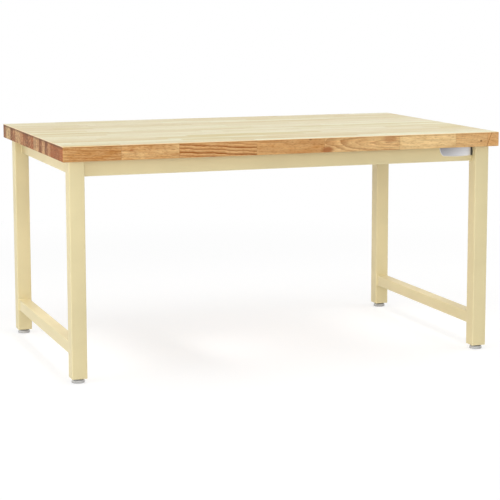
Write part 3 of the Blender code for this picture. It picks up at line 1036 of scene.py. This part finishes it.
STAINS = (
    Stain((0.066, -0.4572, 0.7580), 0.0040, KNOT_COLOUR, 0.75),
    Stain((0.694, -0.4572, 0.7330), 0.0038, KNOT_COLOUR, 0.85),
    Stain((-0.540, -0.4572, 0.7440), 0.0050, RED_HEART, 0.70),
    Stain((0.127, -0.4572, 0.7215), 0.0170, RED_HEART, 0.85),
    Stain((0.352, -0.4572, 0.7520), 0.0200, RED_HEART, 0.45),
    Stain((-0.255, 0.4572, 0.7420), 0.0060, KNOT_COLOUR, 0.80),
    Stain((0.410, 0.4572, 0.7310), 0.0045, KNOT_COLOUR, 0.80),
)
LAST_SCARF = Scarf(0.7255, 0.7375, 0.40, 0.0016)


@dataclass(frozen=True)
class Tints:
    """How tints are drawn: the tone's beta curve, and ranges of the warmth and of the rings' strength."""

    tone: tuple[float, float]
    warmth: Range
    figure: Range

    def draw(self, rng: np.random.Generator, shape: tuple[int, int]) -> Array:
        """Draw a tone, a warmth and a strength of the rings for each block."""
        return joined(rng.beta(*self.tone, shape), rng.uniform(*self.warmth, shape),
                      rng.uniform(*self.figure, shape))


EDGE_TINTS = Tints((2.0, 2.4), (0.0, 0.35), (0.3, 1.0))
UPPER_TINTS = Tints((1.2, 1.5), (0.0, 0.40), (0.3, 1.0))
END_TINTS = Tints((2.0, 1.6), (0.2, 0.7), (0.5, 1.0))


@dataclass
class ButcherBlock:
    """The worktop: rows of staves glued side by side, each row of blocks butted end to end.

    The timber holds the finishes of the upper face, the edges, the ends and the underside.
    """

    timber: Sequence[Material]
    rows: int = 22
    easing: float = 0.0022
    easing_steps: int = 3
    block_length: Range = (0.24, 0.52)
    first_share: Range = (0.35, 1.0)
    last_share: float = 1 / 3
    heart_aside: float = 0.09
    heart_away: Range = (0.01, 0.10)
    ring_pitch: Range = (0.006, 0.014)
    lean: tuple[float, float] = (0.10, 0.05)
    pale_front_from: int = 3
    pale_front: tuple[float, float, float] = (0.05, 0.05, 0.35)
    seed: int = 41
    low: Array = field(init=False)
    high: Array = field(init=False)
    joints: Array = field(init=False)

    def __post_init__(self) -> None:
        """Take the worktop's place from its node and saw the rows into blocks."""
        self.low, self.high = node_box("worktop")
        rng = np.random.default_rng(self.seed)
        shortest = self.block_length[0]
        most = max(math.ceil((self.high[0] - self.low[0]) / shortest), len(FRONT_BLOCKS))
        lengths = rng.uniform(*self.block_length, (self.rows, most))
        lengths[:, 0] *= rng.uniform(*self.first_share, self.rows)
        self.joints = self.low[0] + np.cumsum(lengths, axis=1)
        self.joints[self.joints > self.high[0] - shortest * self.last_share] = self.high[0]
        front = [block.end for block in FRONT_BLOCKS]
        self.joints[0] = np.pad(front, (0, most - len(front)), constant_values=self.high[0])

    def box(self) -> EasedBox:
        """Lay the slab on a grid whose lines run along every glue line.

        Returns:
            The slab.
        """
        inner = (self.joints[self.joints < self.high[0] - TOUCHING],
                 np.linspace(self.low[1], self.high[1], self.rows + 1), [(self.low[2] + self.high[2]) / 2])
        lines = [eased_lines(low, high, (self.easing, self.easing), places, self.easing_steps)
                 for low, high, places in zip(self.low, self.high, inner)]
        return EasedBox(lines, np.full((2, 3), self.easing))

    def staves(self, centres: Array) -> tuple[Array, Array]:
        """Find the stave that each face belongs to.

        Args:
            centres: middles of the faces.

        Returns:
            The row of each face, and the block in its row.
        """
        share = (centres[:, 1] - self.low[1]) / (self.high[1] - self.low[1])
        row = np.clip((share * self.rows).astype(int), 0, self.rows - 1)
        block = (centres[:, :1] > self.joints[row]).sum(axis=1)
        return row, np.minimum(block, self.joints.shape[1] - 1)

    def sawn(self) -> dict[str, Array]:
        """Draw every block's tints, heart, cut and span, and set those of the front edge and the left end.

        The upper face is sanded and oiled and the ends are not, so each has a tint of its own. The upper
        face is pale along the front.

        Returns:
            Arrays of rows by blocks by three numbers, by the name of the mesh's attribute.
        """
        rng = np.random.default_rng(self.seed + 1)
        shape = self.joints.shape
        width = (self.high[1] - self.low[1]) / self.rows
        middle_y = self.low[1] + (np.arange(self.rows)[:, None] + 0.5) * width
        middle_z = (self.low[2] + self.high[2]) / 2
        starts = np.concatenate([np.full((self.rows, 1), self.low[0]), self.joints[:, :-1]], axis=1)
        tint = EDGE_TINTS.draw(rng, shape)
        heart = joined((starts + self.joints) / 2,
                       middle_y + rng.uniform(-self.heart_aside, self.heart_aside, shape),
                       middle_z + rng.choice([-1, 1], shape) * rng.uniform(*self.heart_away, shape))
        cut = joined(rng.uniform(*self.ring_pitch, shape), rng.normal(0.0, self.lean[0], shape),
                     rng.normal(0.0, self.lean[1], shape))
        upper = UPPER_TINTS.draw(rng, shape)
        upper[0, self.pale_front_from:] = self.pale_front
        ends = END_TINTS.draw(rng, shape)
        ends[:, 0, :2] = [end.value for end in LEFT_ENDS]
        for number, block in enumerate(FRONT_BLOCKS):
            tint[0, number] = (block.tone, block.warmth, block.figure)
            heart[0, number, 1:] = (self.low[1] + block.heart[0], middle_z + block.heart[1])
            cut[0, number] = (block.pitch, *block.lean)
        span = joined((self.joints - starts) / 2, middle_y, width / 2)
        return {"edge_tint": tint, "upper_tint": upper, "end_tint": ends, "stave_heart": heart,
                "stave_cut": cut, "stave_span": span}

    def build(self) -> None:
        """Build the worktop."""
        box = self.box()
        slab = Piece("butcher_block", FRAME_BODY, Slot.TIMBER, ("worktop",))
        piece = slab.build(box.shell(), *self.timber)
        row, block = self.staves(box.centres)
        for name, values in self.sawn().items():
            store(piece.data, name, "FACE", values[row, block])
        sides = (Cut.END, Cut.END, Cut.EDGE, Cut.EDGE, Cut.UNDERSIDE, Cut.FACE)
        cuts = np.array([side.value for side in sides], np.int32)
        piece.data.polygons.foreach_set("material_index", cuts[box.sides])
        piece.data.update()


# Rings of the plate from its back: how far they are drawn in, share of its thickness, and wear
PLATE_RINGS = ((0.0, 0.0, 0.0), (0.0, 0.7, 1.0), (0.0003, 1.0, 1.0), (0.0012, 1.0, 1.0),
               (0.0016, 0.72, 0.4), (0.0021, 0.62, 0.0), (0.0025, 0.62, 0.0))


@dataclass
class SteelFrame:
    """The welded and bolted frame: legs, lower rails, channels, weld beads and the blank plate."""

    coat: Material
    plate: Material
    tube_wall: float = 0.002
    tube_corner: float = 0.003
    sheet: float = 0.002
    bend: float = 0.003
    bend_steps: int = 3
    channel_step: float = 0.1
    bead_size: float = 0.0030
    bead_pitch: float = 0.0034
    bead_ripple: float = 0.12
    bead_sink: float = 0.0005
    bead_start: float = 0.4
    bead_steps: int = 6
    plate_bow: float = 0.002
    plate_rounding: float = 0.018
    plate_steps: int = 24

    def steel(self, name: str, shell: Shell, *nodes: str) -> bpy.types.Object:
        """Return a coated piece of the frame that stands for the nodes named."""
        return Piece(name, FRAME_BODY, Slot.COAT, nodes).build(shell, self.coat)

    def legs(self) -> None:
        """Make the four legs."""
        for corner in Corner:
            node = corner.label + "_leg"
            low, high = node_box(node)
            middle = (low + high) / 2
            tube = square_tube(*(high - low), self.tube_wall, self.tube_corner)
            self.steel(corner.label + "_tube_leg", tube.moved([*middle[:2], low[2]]), node)

    def lower_rails(self) -> None:
        """Make the two tubes between the legs of one side, welded all round at both ends."""
        along_y = np.array([[1, 0, 0], [0, 0, 1], [0, -1, 0]])
        for side in ("left", "right"):
            node, name = side + "_lower_rail", side + "_foot_rail"
            low, high = node_box(node)
            width, length, height = high - low
            middle = (low + high) / 2
            tube = square_tube(width, height, length, self.tube_wall, self.tube_corner)
            self.steel(name, tube.moved([middle[0], low[1], middle[2]], along_y), node)
            ring, _ = rounded_ring(width, height, self.tube_corner)
            self.welds(name, ring + middle[[0, 2]], True, (low[1], high[1]))

    def welds(self, name: str, line: Array, closed: bool, ends: Range) -> None:
        """Weld both ends of a rail to its legs.

        Args:
            name: name of the rail's piece.
            line: the weld's line in the XZ plane, anticlockwise round the rail.
            closed: whether the line's end joins its start.
            ends: the rail's front and rear end along Y.
        """
        bead = self.bead(line, closed)
        mirrored = Shell(bead.points, [face[::-1] for face in bead.faces], bead.easing)
        for end, y, facing, shell in (("front", ends[0], 1, mirrored), ("rear", ends[1], -1, bead)):
            turn = np.array([[1, 0, 0], [0, 0, facing], [0, 1, 0]])
            self.steel(f"{name}_{end}_weld", shell.moved([0.0, y, 0.0], turn))

    def bead(self, line: Array, closed: bool) -> Shell:
        """Return a weld bead along a line, in the corner between the plane Z = 0 and a wall on the line.

        The section is a quarter round whose corner is sunk a little into both. Its size swells and shrinks
        along the line as overlapping puddles do, by the size of a sine, and tapers towards open ends.

        Args:
            line: points in the XY plane, with the bead on the right of the line.
            closed: whether the line's end joins its start.

        Returns:
            The bead, facing outwards.
        """
        run = np.vstack([line, line[:1]]) if closed else line
        lengths = np.concatenate([[0.0], np.cumsum(np.linalg.norm(np.diff(run, axis=0), axis=1))])
        whole = lengths[-1]
        puddles = round(whole / self.bead_pitch)
        stations = np.linspace(0.0, whole, puddles * self.bead_steps, endpoint=not closed)
        path = joined(*(np.interp(stations, lengths, places) for places in run.T))
        tangent = np.gradient(path, axis=0)
        if closed:
            tangent = np.roll(path, -1, axis=0) - np.roll(path, 1, axis=0)
        tangent /= np.linalg.norm(tangent, axis=1, keepdims=True)
        outward = joined(tangent[:, 1], -tangent[:, 0])
        swell = np.abs(np.sin(math.pi * puddles * stations / whole))
        size = self.bead_size * (1.0 - self.bead_ripple + self.bead_ripple * swell)
        if not closed:
            to_end = np.minimum(stations, whole - stations)
            size *= np.clip(self.bead_start + to_end / self.bead_pitch, self.bead_start, 1.0)
        angle = np.linspace(0.0, QUARTER_TURN, self.bead_steps)
        out = np.concatenate([[0.0], np.cos(angle)]) * size[:, None] - self.bead_sink
        up = np.concatenate([[0.0], np.sin(angle)]) * size[:, None] - self.bead_sink
        points = np.concatenate([path[:, None] + outward[:, None] * out[..., None], up[..., None]], axis=-1)
        rows, columns = up.shape
        faces = grid_quads(rows, columns, wrap_rows=closed, wrap_columns=True)[:, ::-1].tolist()
        if not closed:
            numbers = np.arange(rows * columns).reshape(rows, columns)
            faces += [numbers[0].tolist(), numbers[-1, ::-1].tolist()]
        return Shell(points.reshape(-1, 3), faces, np.zeros(rows * columns))

    def aprons(self) -> None:
        """Make the two aprons, folded trays open towards the middle of the bench."""
        for side, open_side in (("front", 1), ("rear", 0)):
            self.channel(side + "_apron", side + "_folded_apron", frozenset({(1, open_side)}))

    def upper_rails(self) -> None:
        """Make the two channels under the worktop's ends, open to the middle and welded at their ends."""
        for side, open_side in (("left", 1), ("right", 0)):
            node, name = side + "_upper_rail", side + "_folded_rail"
            self.channel(node, name, frozenset({(0, open_side), (1, 0), (1, 1)}))
            low, high = node_box(node)
            self.welds(name, self.channel_seam(low, high, open_side), False, (low[1], high[1]))

    def channel_seam(self, low: Array, high: Array, open_side: int) -> Array:
        """Return the line of a channel's weld: along its web, round its lower bend and along its flange.

        Args:
            low: the channel's lowest corner.
            high: its highest corner.
            open_side: 1 where it opens towards +X, 0 where it opens towards -X.

        Returns:
            Points in the XZ plane, anticlockwise round the channel.
        """
        angle = np.linspace(math.pi, 1.5 * math.pi, self.bead_steps)
        bend = self.bend * (1.0 + joined(np.cos(angle), np.sin(angle)))
        width, _, height = high - low
        line = np.concatenate([[[0.0, height - self.bend]], bend, [[width - self.bend, 0.0]]])
        if open_side:
            return line + low[[0, 2]]
        return joined(high[0] - line[:, 0], low[2] + line[:, 1])[::-1]

    def channel(self, node: str, name: str, open_sides: frozenset[tuple[int, int]]) -> None:
        """Fold a channel in the place of a node.

        Args:
            node: the node that it stands for.
            name: the piece's name.
            open_sides: axis and side of each open face.
        """
        low, high = node_box(node)
        easing = np.full((2, 3), self.bend)
        for axis, side in open_sides:
            easing[side, axis] = 0.0
        lines = []
        for start, end, bends in zip(low, high, easing.T):
            count = max(3, int((end - start) / self.channel_step))
            inner = np.linspace(start, end, count)[1:-1]
            lines.append(eased_lines(start, end, tuple(bends), inner, self.bend_steps))
        piece = self.steel(name, EasedBox(lines, easing, open_sides).shell(), node)
        wall = piece.modifiers.new("sheet", "SOLIDIFY")
        wall.thickness = self.sheet
        wall.offset = -1.0
        wall.use_even_offset = True

    def name_plate(self) -> None:
        """Make the blank plate on the front apron: square at the leg, rounded at its far end, with a rim.

        Rings of the outline are drawn in towards the plate's long middle line: up the edge, over the raised
        rim and down to the field, which the last one bounds.
        """
        low, high = node_box("name_plate")
        height = high[2] - low[2] - self.plate_bow
        angle = np.linspace(0.0, QUARTER_TURN, self.plate_steps)
        share = np.linspace(0.0, 1.0, self.plate_steps)
        foot = low[0] + self.plate_rounding
        left = joined(foot - self.plate_rounding * np.cos(angle), high[2] - height * np.sin(angle))
        sag = self.plate_bow * np.sin(math.pi * share)
        under = joined(foot + (high[0] - foot) * share, high[2] - height - sag)
        right = joined(high[0], high[2] - height * (1 - share))
        above = joined(high[0] + (low[0] - high[0]) * share, high[2])
        outline = np.concatenate([side[:-1] for side in (left, under, right, above)])
        spine = joined(np.clip(outline[:, 0], low[0] + height / 2, high[0] - height / 2),
                       (high[2] + low[2] + self.plate_bow) / 2)
        inward = (spine - outline) / np.linalg.norm(spine - outline, axis=1, keepdims=True)
        inset, rise, edge_wear_and_shade = np.array(PLATE_RINGS).T
        rings = outline + inward * inset[:, None, None]
        shell = stacked(list(rings), rise * (high[1] - low[1]), edge_wear_and_shade, hollow=False)
        upright = np.array([[1, 0, 0], [0, 0, -1], [0, 1, 0]])
        piece = Piece("blank_plate", FRAME_BODY, Slot.PLATE, ("name_plate",))
        piece.build(shell.moved([0.0, high[1], 0.0], upright), self.plate)

    def build(self) -> None:
        """Build the whole frame."""
        self.legs()
        self.lower_rails()
        self.upper_rails()
        self.aprons()
        self.name_plate()


# Rows of a glide's foot and of its rolled rim: how far in from its outside, and height above floor or rim
GLIDE_FOOT = ((0.0012, 0.0), (0.0004, 0.0002), (0.0, 0.0008))
GLIDE_RIM = ((0.0, -0.0006), (0.0003, -0.0001), (0.0009, 0.0001))


@dataclass
class LevellingFeet:
    """The four feet: a pressed glide and a threaded stud with a hexagon collar under each leg."""

    nickel: Material
    zinc: Material
    glide_sides: int = 72
    rim: float = 0.0060
    groove: tuple[float, float] = (0.0006, 0.0003)
    dome_steps: int = 14
    painted_dome_shade: float = 0.6
    crown: float = 0.011
    pocket: float = 0.0053
    pocket_depth: float = 0.004
    pocket_chamfer: float = 0.0004
    stud_sides: int = 48
    stud_radius: float = 0.005
    chamfer: float = 0.0006
    pitch: float = 0.0015
    thread_depth: float = 0.00075
    thread_gap: float = 0.0002
    rows_per_turn: int = 10
    collar_flats: float = 0.017
    collar_cone: float = 1.06
    collar_height: float = 0.005
    collar_gap: float = 0.0003

    def glide(self, radius: float, height: float) -> Shell:
        """Return a glide of a pressed shell: chamfered foot, rolled rim, groove, dome and flat crown.

        The dome is a quarter of an ellipse from the rim to the crown. The foot, the rim and the lower dome
        take the darker edge colour as painted shade.

        Args:
            radius: its outer radius.
            height: height of its crown.

        Returns:
            The glide, standing on Z = 0.
        """
        angle = np.linspace(0.0, QUARTER_TURN, self.dome_steps)
        inset, lift = self.groove
        start = self.rim + lift
        dome = joined(self.crown + (radius - inset - self.crown) * np.cos(angle),
                      start + (height - start) * np.sin(angle))
        foot = np.array(GLIDE_FOOT + GLIDE_RIM) * (-1, 1) + (radius, 0.0)
        foot[len(GLIDE_FOOT):, 1] += self.rim
        bevel = self.pocket_chamfer
        top = np.array([[self.pocket + bevel, height], [self.pocket, height - bevel],
                        [self.pocket, height - self.pocket_depth]])
        # Painted shade: the foot and rolled rim take the darker edge colour in full, the dome less towards
        # its crown.
        edge_wear_and_shade = np.concatenate([np.ones(len(foot)), np.linspace(self.painted_dome_shade, 0.0, len(dome)),
                               np.zeros(len(top))])
        profile = np.concatenate([foot, dome, top])
        return spun(np.repeat(profile[:, :1], self.glide_sides, axis=1), profile[:, 1], edge_wear_and_shade)

    def stud(self, low: float, high: float, collar: Range) -> Shell:
        """Return a stud whose thread is a ridge wound up the core.

        Above the collar the radius at angle a and height z is the core's radius plus the thread's depth
        times a triangle wave of z / pitch - a / full turn, fading out over the last turn. The collar's rows
        are hexagons, cut at their corners by a cone.

        Args:
            low: height of its lower end.
            high: height of its tip.
            collar: heights of the collar's lower and upper face.

        Returns:
            The stud, upright on the Z axis.
        """
        turns = np.arange(self.stud_sides) / self.stud_sides
        start = collar[1] + self.thread_gap
        z = np.linspace(start, high, int((high - start) / self.pitch * self.rows_per_turn))
        wave = np.abs((z[:, None] / self.pitch - turns) % 1.0 * 2.0 - 1.0)
        fade = np.clip((high - z) / self.pitch, 0.0, 1.0)[:, None]
        thread = self.stud_radius - self.thread_depth * (1.0 - wave * fade)
        flats = self.collar_flats / 2 * hexagon(self.stud_sides)
        cone = np.minimum(flats, self.collar_flats / 2 * self.collar_cone)
        plain = np.full((3, self.stud_sides), self.stud_radius)
        plain[0] -= self.chamfer
        radius = np.vstack([plain, cone, flats, flats, cone, thread[:1], thread])
        heights = [low, low + self.chamfer, collar[0], collar[0], collar[0] + self.chamfer,
                   collar[1] - self.chamfer, collar[1], collar[1]]
        return spun(radius, np.concatenate([heights, z]))

    def build(self) -> None:
        """Build the four feet, glides on the bodies that slide and studs on the bodies that turn."""
        for corner in Corner:
            pad_node, stud_node = corner.label + "_pad", corner.label + "_stud"
            low, high = node_box(pad_node)
            centre = [*(low + high)[:2] / 2, 0.0]
            glide = self.glide((high[0] - low[0]) / 2, high[2])
            piece = Piece(corner.label + "_glide", corner.label + "_foot", Slot.PLATED, (pad_node,))
            piece.build(glide.moved(centre), self.nickel)
            collar = high[2] + self.collar_gap
            low, high = node_box(stud_node)
            stud = self.stud(low[2], high[2], (collar, collar + self.collar_height))
            piece = Piece(corner.label + "_threaded_stud", corner.label + "_screw", Slot.ZINC, (stud_node,))
            piece.build(stud.moved(centre), self.zinc)


@dataclass(frozen=True)
class HexSize:
    """Sizes of a hexagon-headed fastener: head across flats and its height, washer face and shank."""

    flats: float
    head: float
    washer_radius: float
    washer: float
    radius: float

    @property
    def proud(self) -> float:
        """Return how far the head stands off its seat."""
        return self.head + self.washer


APRON_BOLT = HexSize(0.013, 0.0055, 0.008, 0.0012, 0.004)
TOP_SCREW = HexSize(0.010, 0.0045, 0.007, 0.0012, 0.003)
TOP_SCREWS = {"front": 3, "rear": 3, "left": 2, "right": 2}

# Rows of a head from its top: share of the half width across flats, depth, and 1 where it is a hexagon
HEAD_ROWS = ((0.55, 0.0003, 0), (0.62, 0.0, 0), (0.94, 0.0, 0), (1.0, 0.0007, 1))
# Rows of a washer face from the head: share of its radius and of its thickness
WASHER_ROWS = ((0.94, 1.0), (1.0, 0.55), (1.0, 0.2), (0.97, 0.0))


@dataclass
class Fasteners:
    """Hexagon-headed bolts at the aprons' ends and screws under the worktop.

    The thread's pitch, its core, the tip's length and the tip's radius are shares of the shank's radius.
    """

    zinc: Material
    sides: int = 48
    neck: float = 0.0002
    pitch: float = 0.3
    core: float = 0.86
    tip_length: float = 0.6
    tip_radius: float = 0.3

    def body(self, size: HexSize, shank: float) -> Shell:
        """Return a fastener along +Z, its washer face at Z = 0 and its head below.

        The head's top edge is cut by a cone, the washer swells outwards, and the shank is a thread drawn as
        a triangle wave of the height over the pitch.

        Args:
            size: its sizes.
            shank: length of its shank.

        Returns:
            The fastener.
        """
        head = np.array(HEAD_ROWS) * (size.flats / 2, 1, 1) - (0.0, size.proud, 0.0)
        base = [(size.flats / 2, -size.washer - self.neck, 1)]
        washer = np.pad(np.array(WASHER_ROWS) * (size.washer_radius, -size.washer), ((0, 0), (0, 1)))
        z = np.arange(0.0, shank - size.radius * self.tip_length, size.radius * self.pitch / 2)
        ridge = size.radius * np.where(np.arange(len(z)) % 2 == 0, self.core, 1.0)
        tip = [(size.radius * self.tip_radius, shank, 0)]
        radius, heights, is_hexagon = np.vstack([head, base, washer, joined(ridge, z, 0), tip]).T
        flats = np.where(is_hexagon[:, None] > 0, hexagon(self.sides), 1.0)
        return spun(radius[:, None] * flats, heights)

    def place(self, node: str, name: str, size: HexSize, axis: int, side: int) -> None:
        """Put a fastener in the place of a node.

        Args:
            node: the node that it stands for.
            name: the piece's name.
            size: its sizes.
            axis: 0 for a fastener along X and 2 for one along Z.
            side: 1 where it points along the axis and -1 where it points back.
        """
        low, high = node_box(node)
        seat = (low + high) / 2
        seat[axis] = low[axis] + size.proud if side > 0 else high[axis] - size.proud
        turn = NO_TURN if axis == 2 else np.array([[0, 0, side], [0, 1, 0], [-side, 0, 0]])
        shell = self.body(size, high[axis] - low[axis] - size.proud)
        Piece(name, FRAME_BODY, Slot.ZINC, (node,)).build(shell.moved(seat, turn), self.zinc)

    def build(self) -> None:
        """Build every bolt and screw."""
        for corner in Corner:
            for level in ("lower", "upper"):
                node, name = f"{corner.label}_apron_bolt_{level}", f"{corner.label}_hex_bolt_{level}"
                self.place(node, name, APRON_BOLT, 0, corner.side)
        for side, count in TOP_SCREWS.items():
            for number in range(1, count + 1):
                node, name = f"{side}_top_screw_{number}", f"{side}_hex_screw_{number}"
                self.place(node, name, TOP_SCREW, 2, 1)


@dataclass(frozen=True)
class PhotoCamera:
    """The camera that took the photograph, in pixels of a square picture."""

    picture: float = 500.0
    focal: float = 1634.3
    centre: tuple[float, float] = (272.0, 210.0)
    place: Place = (-1.9354, -5.4014, 1.2560)
    yaw: float = math.radians(20.686)
    pitch: float = math.radians(7.806)
    roll: float = math.radians(0.019)
    sensor: float = 36.0

    def build(self) -> None:
        """Make the camera: it looks along +Y turned right by the yaw and down by the pitch, then rolls."""
        data = bpy.data.cameras.new("photo_camera")
        data.sensor_width = self.sensor
        data.lens = self.focal * self.sensor / self.picture
        data.shift_x = (self.picture / 2 - self.centre[0]) / self.picture
        data.shift_y = (self.centre[1] - self.picture / 2) / self.picture
        camera = bpy.data.objects.new("photo_camera", data)
        tilt = Matrix.Rotation(QUARTER_TURN - self.pitch, 4, "X") @ Matrix.Rotation(self.roll, 4, "Z")
        camera.matrix_world = Matrix.Translation(self.place) @ Matrix.Rotation(-self.yaw, 4, "Z") @ tilt
        bpy.context.scene.collection.objects.link(camera)
        bpy.context.scene.camera = camera


@dataclass(frozen=True)
class SoftBox:
    """A lamp: its place, the point that it faces, its width and height, power in watts and beam in degrees.

    Metal shows the lamp itself only where in_metal is set.
    """

    name: str
    place: Place
    aim: Place
    size: tuple[float, float]
    power: float
    beam: float = 180.0
    in_metal: bool = False

    def build(self) -> None:
        """Hang the lamp, its width level."""
        data = bpy.data.lights.new(self.name, "AREA")
        data.shape = "RECTANGLE"
        data.size, data.size_y = self.size
        data.energy = self.power
        data.spread = math.radians(self.beam)
        lamp = bpy.data.objects.new(self.name, data)
        lamp.location = self.place
        lamp.rotation_mode = "QUATERNION"
        lamp.rotation_quaternion = (Vector(self.aim) - Vector(self.place)).to_track_quat("-Z", "Y")
        lamp.visible_camera = False
        lamp.visible_glossy = self.in_metal
        bpy.context.scene.collection.objects.link(lamp)


SOFT_BOXES = (
    SoftBox("left_key", (-12.0, -2.0, 1.2), (0.0, 0.0, 0.35), (5.0, 5.0), 540.0),
    SoftBox("front_fill", (-2.4, -13.2, 1.6), (0.0, 0.0, 0.45), (8.0, 8.0), 630.0),
    SoftBox("under_fill", (-0.20, -0.10, 0.30), (0.72, 0.0, 0.16), (0.3, 0.3), 0.6),
    SoftBox("upper_left", (-2.6, -0.6, 2.8), (-0.7, 0.0, 0.3), (1.8, 1.8), 11.0, in_metal=True),
    SoftBox("upper_right", (2.6, -0.6, 2.8), (0.7, 0.0, 0.3), (1.8, 1.8), 24.0, in_metal=True),
    SoftBox("overhead", (-0.6, -0.2, 3.4), (-0.2, 0.0, 0.76), (3.0, 3.0), 22.0, in_metal=True),
    SoftBox("under_left", (-0.52, 0.0, 0.66), (-0.712, 0.0, 0.127), (0.70, 0.2), 0.58, beam=72.0),
    SoftBox("under_right", (0.63, 0.0, 0.66), (0.712, 0.0, 0.127), (0.60, 0.2), 0.38, beam=72.0),
    SoftBox("corner_front", (-1.0, -2.6, 0.30), (-0.66, -0.43, 0.74), (0.6, 0.3), 0.16, beam=28.0),
    SoftBox("corner_left", (-2.8, -0.3, 0.30), (-0.74, -0.12, 0.74), (0.6, 0.3), 0.22, beam=28.0),
)


@dataclass(frozen=True)
class Studio:
    """A white studio: pale floor, soft lamps, and a surround that is brightest at the front left."""

    floor_reach: float = 60.0
    floor_drop: float = 0.0004
    floor_albedo: float = 0.90
    shadow_albedo: float = 0.36
    glow: float = 0.72
    shadow_fade: Range = (1.6, 3.2)
    surround: Range = (0.21, 0.77)
    brightest: Place = (-0.55, -0.80, -0.05)

    def floor_material(self) -> Material:
        """Build the floor: white to the camera and in reflections with the object's shadow, plain to light.

        Returns:
            The material.
        """
        material, graph, shader = new_material("studio_floor")
        graph.tree.nodes.remove(shader)
        plain, shadow = (graph.add("ShaderNodeBsdfDiffuse", {"Color": opaque((albedo,) * 3)})[0]
                         for albedo in (self.floor_albedo, self.shadow_albedo))
        glow, white = (graph.add("ShaderNodeEmission", {"Color": opaque(WHITE), "Strength": strength})[0]
                       for strength in (self.glow, 1.0))
        near = graph.add("ShaderNodeAddShader", {0: shadow, 1: glow})[0]
        far = graph.spread(graph.measure("LENGTH", graph.position()), *self.shadow_fade, smooth=True)
        lit = graph.mixed(graph.shown(), plain, graph.mixed(far, near, white))
        clear = graph.add("ShaderNodeBsdfTransparent")[0]
        back = graph.add("ShaderNodeNewGeometry")["Backfacing"]
        graph.fill(graph.tree.nodes["Material Output"], {"Surface": graph.mixed(back, lit, clear)})
        return material

    def floor(self) -> None:
        """Lay the floor, just under the feet."""
        lines = np.linspace(-self.floor_reach, self.floor_reach, 3)
        grid = joined(lines[:, None], lines, -self.floor_drop).reshape(-1, 3)
        mesh = bpy.data.meshes.new("studio_floor")
        mesh.from_pydata(grid, [], grid_quads(3, 3)[:, ::-1].tolist())
        mesh.materials.append(self.floor_material())
        floor = bpy.data.objects.new("studio_floor", mesh)
        bpy.context.scene.collection.objects.link(floor)

    def world(self) -> None:
        """Make the surround: white to the camera and in reflections, dimmer as light.

        As light, its strength rises evenly with the cosine of the angle to the brightest direction.
        """
        world = bpy.data.worlds.new("studio")
        bpy.context.scene.world = world
        world.use_nodes = True
        graph = Graph(world.node_tree)
        direction = graph.add("ShaderNodeTexCoord")["Generated"]
        cosine = graph.measure("DOT_PRODUCT", direction, tuple(Vector(self.brightest).normalized()))
        strength = graph.math("MAXIMUM", graph.shown(), graph.spread(cosine, -1.0, 1.0, *self.surround))
        graph.fill(world.node_tree.nodes["Background"], {"Color": opaque(WHITE), "Strength": strength})

    def build(self) -> None:
        """Set the view, floor, surround and lamps."""
        bpy.context.scene.view_settings.view_transform = "Standard"
        self.floor()
        self.world()
        for box in SOFT_BOXES:
            box.build()


@dataclass
class Workbench:
    """The whole bench: its finishes and its sub-assemblies."""

    groups: Groups = field(default_factory=Groups.build)

    def bare_nodes(self, zinc: Material, steel: Material) -> None:
        """Give the nodes that keep their solids' shape a finish: nuts and leg sockets.

        Args:
            zinc: the nuts' finish.
            steel: the sockets' finish.
        """
        for name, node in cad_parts.items():
            material = zinc if "_nut_" in name else steel if name.endswith("_socket") else None
            if material:
                node.data.materials.clear()
                node.data.materials.append(material)
                LOG.info("%s keeps its solid's shape", name)

    def build(self) -> None:
        """Build the finishes, then every sub-assembly."""
        coat = BEIGE_COAT.material("beige_powder_coat", self.groups)
        zinc = ZINC.material("zinc_plating", self.groups)
        nickel = NICKEL.material("nickel_plating", self.groups)
        steel = BARE_STEEL.material("bare_steel", self.groups)
        plate = BRIGHT_PLATE.material("brushed_plate", self.groups, *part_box("name_plate"))
        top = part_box("worktop")[1][2]
        timber = [
            TOP_TIMBER.material("sanded_face", self.groups, top),
            EDGE_TIMBER.material("sawn_edge", self.groups, top, STAINS, LAST_SCARF),
            END_TIMBER.material("end_grain", self.groups, top),
            UNDER_TIMBER.material("sawn_underside", self.groups, top),
        ]
        ButcherBlock(timber).build()
        SteelFrame(coat, plate).build()
        LevellingFeet(nickel, zinc).build()
        Fasteners(zinc).build()
        self.bare_nodes(zinc, steel)


def main() -> None:
    """Build the bench, its camera and its studio."""
    logging.basicConfig(level=logging.INFO, format="%(name)s: %(message)s")
    PhotoCamera().build()
    Workbench().build()
    Studio().build()


if __name__ == "__main__":
    main()
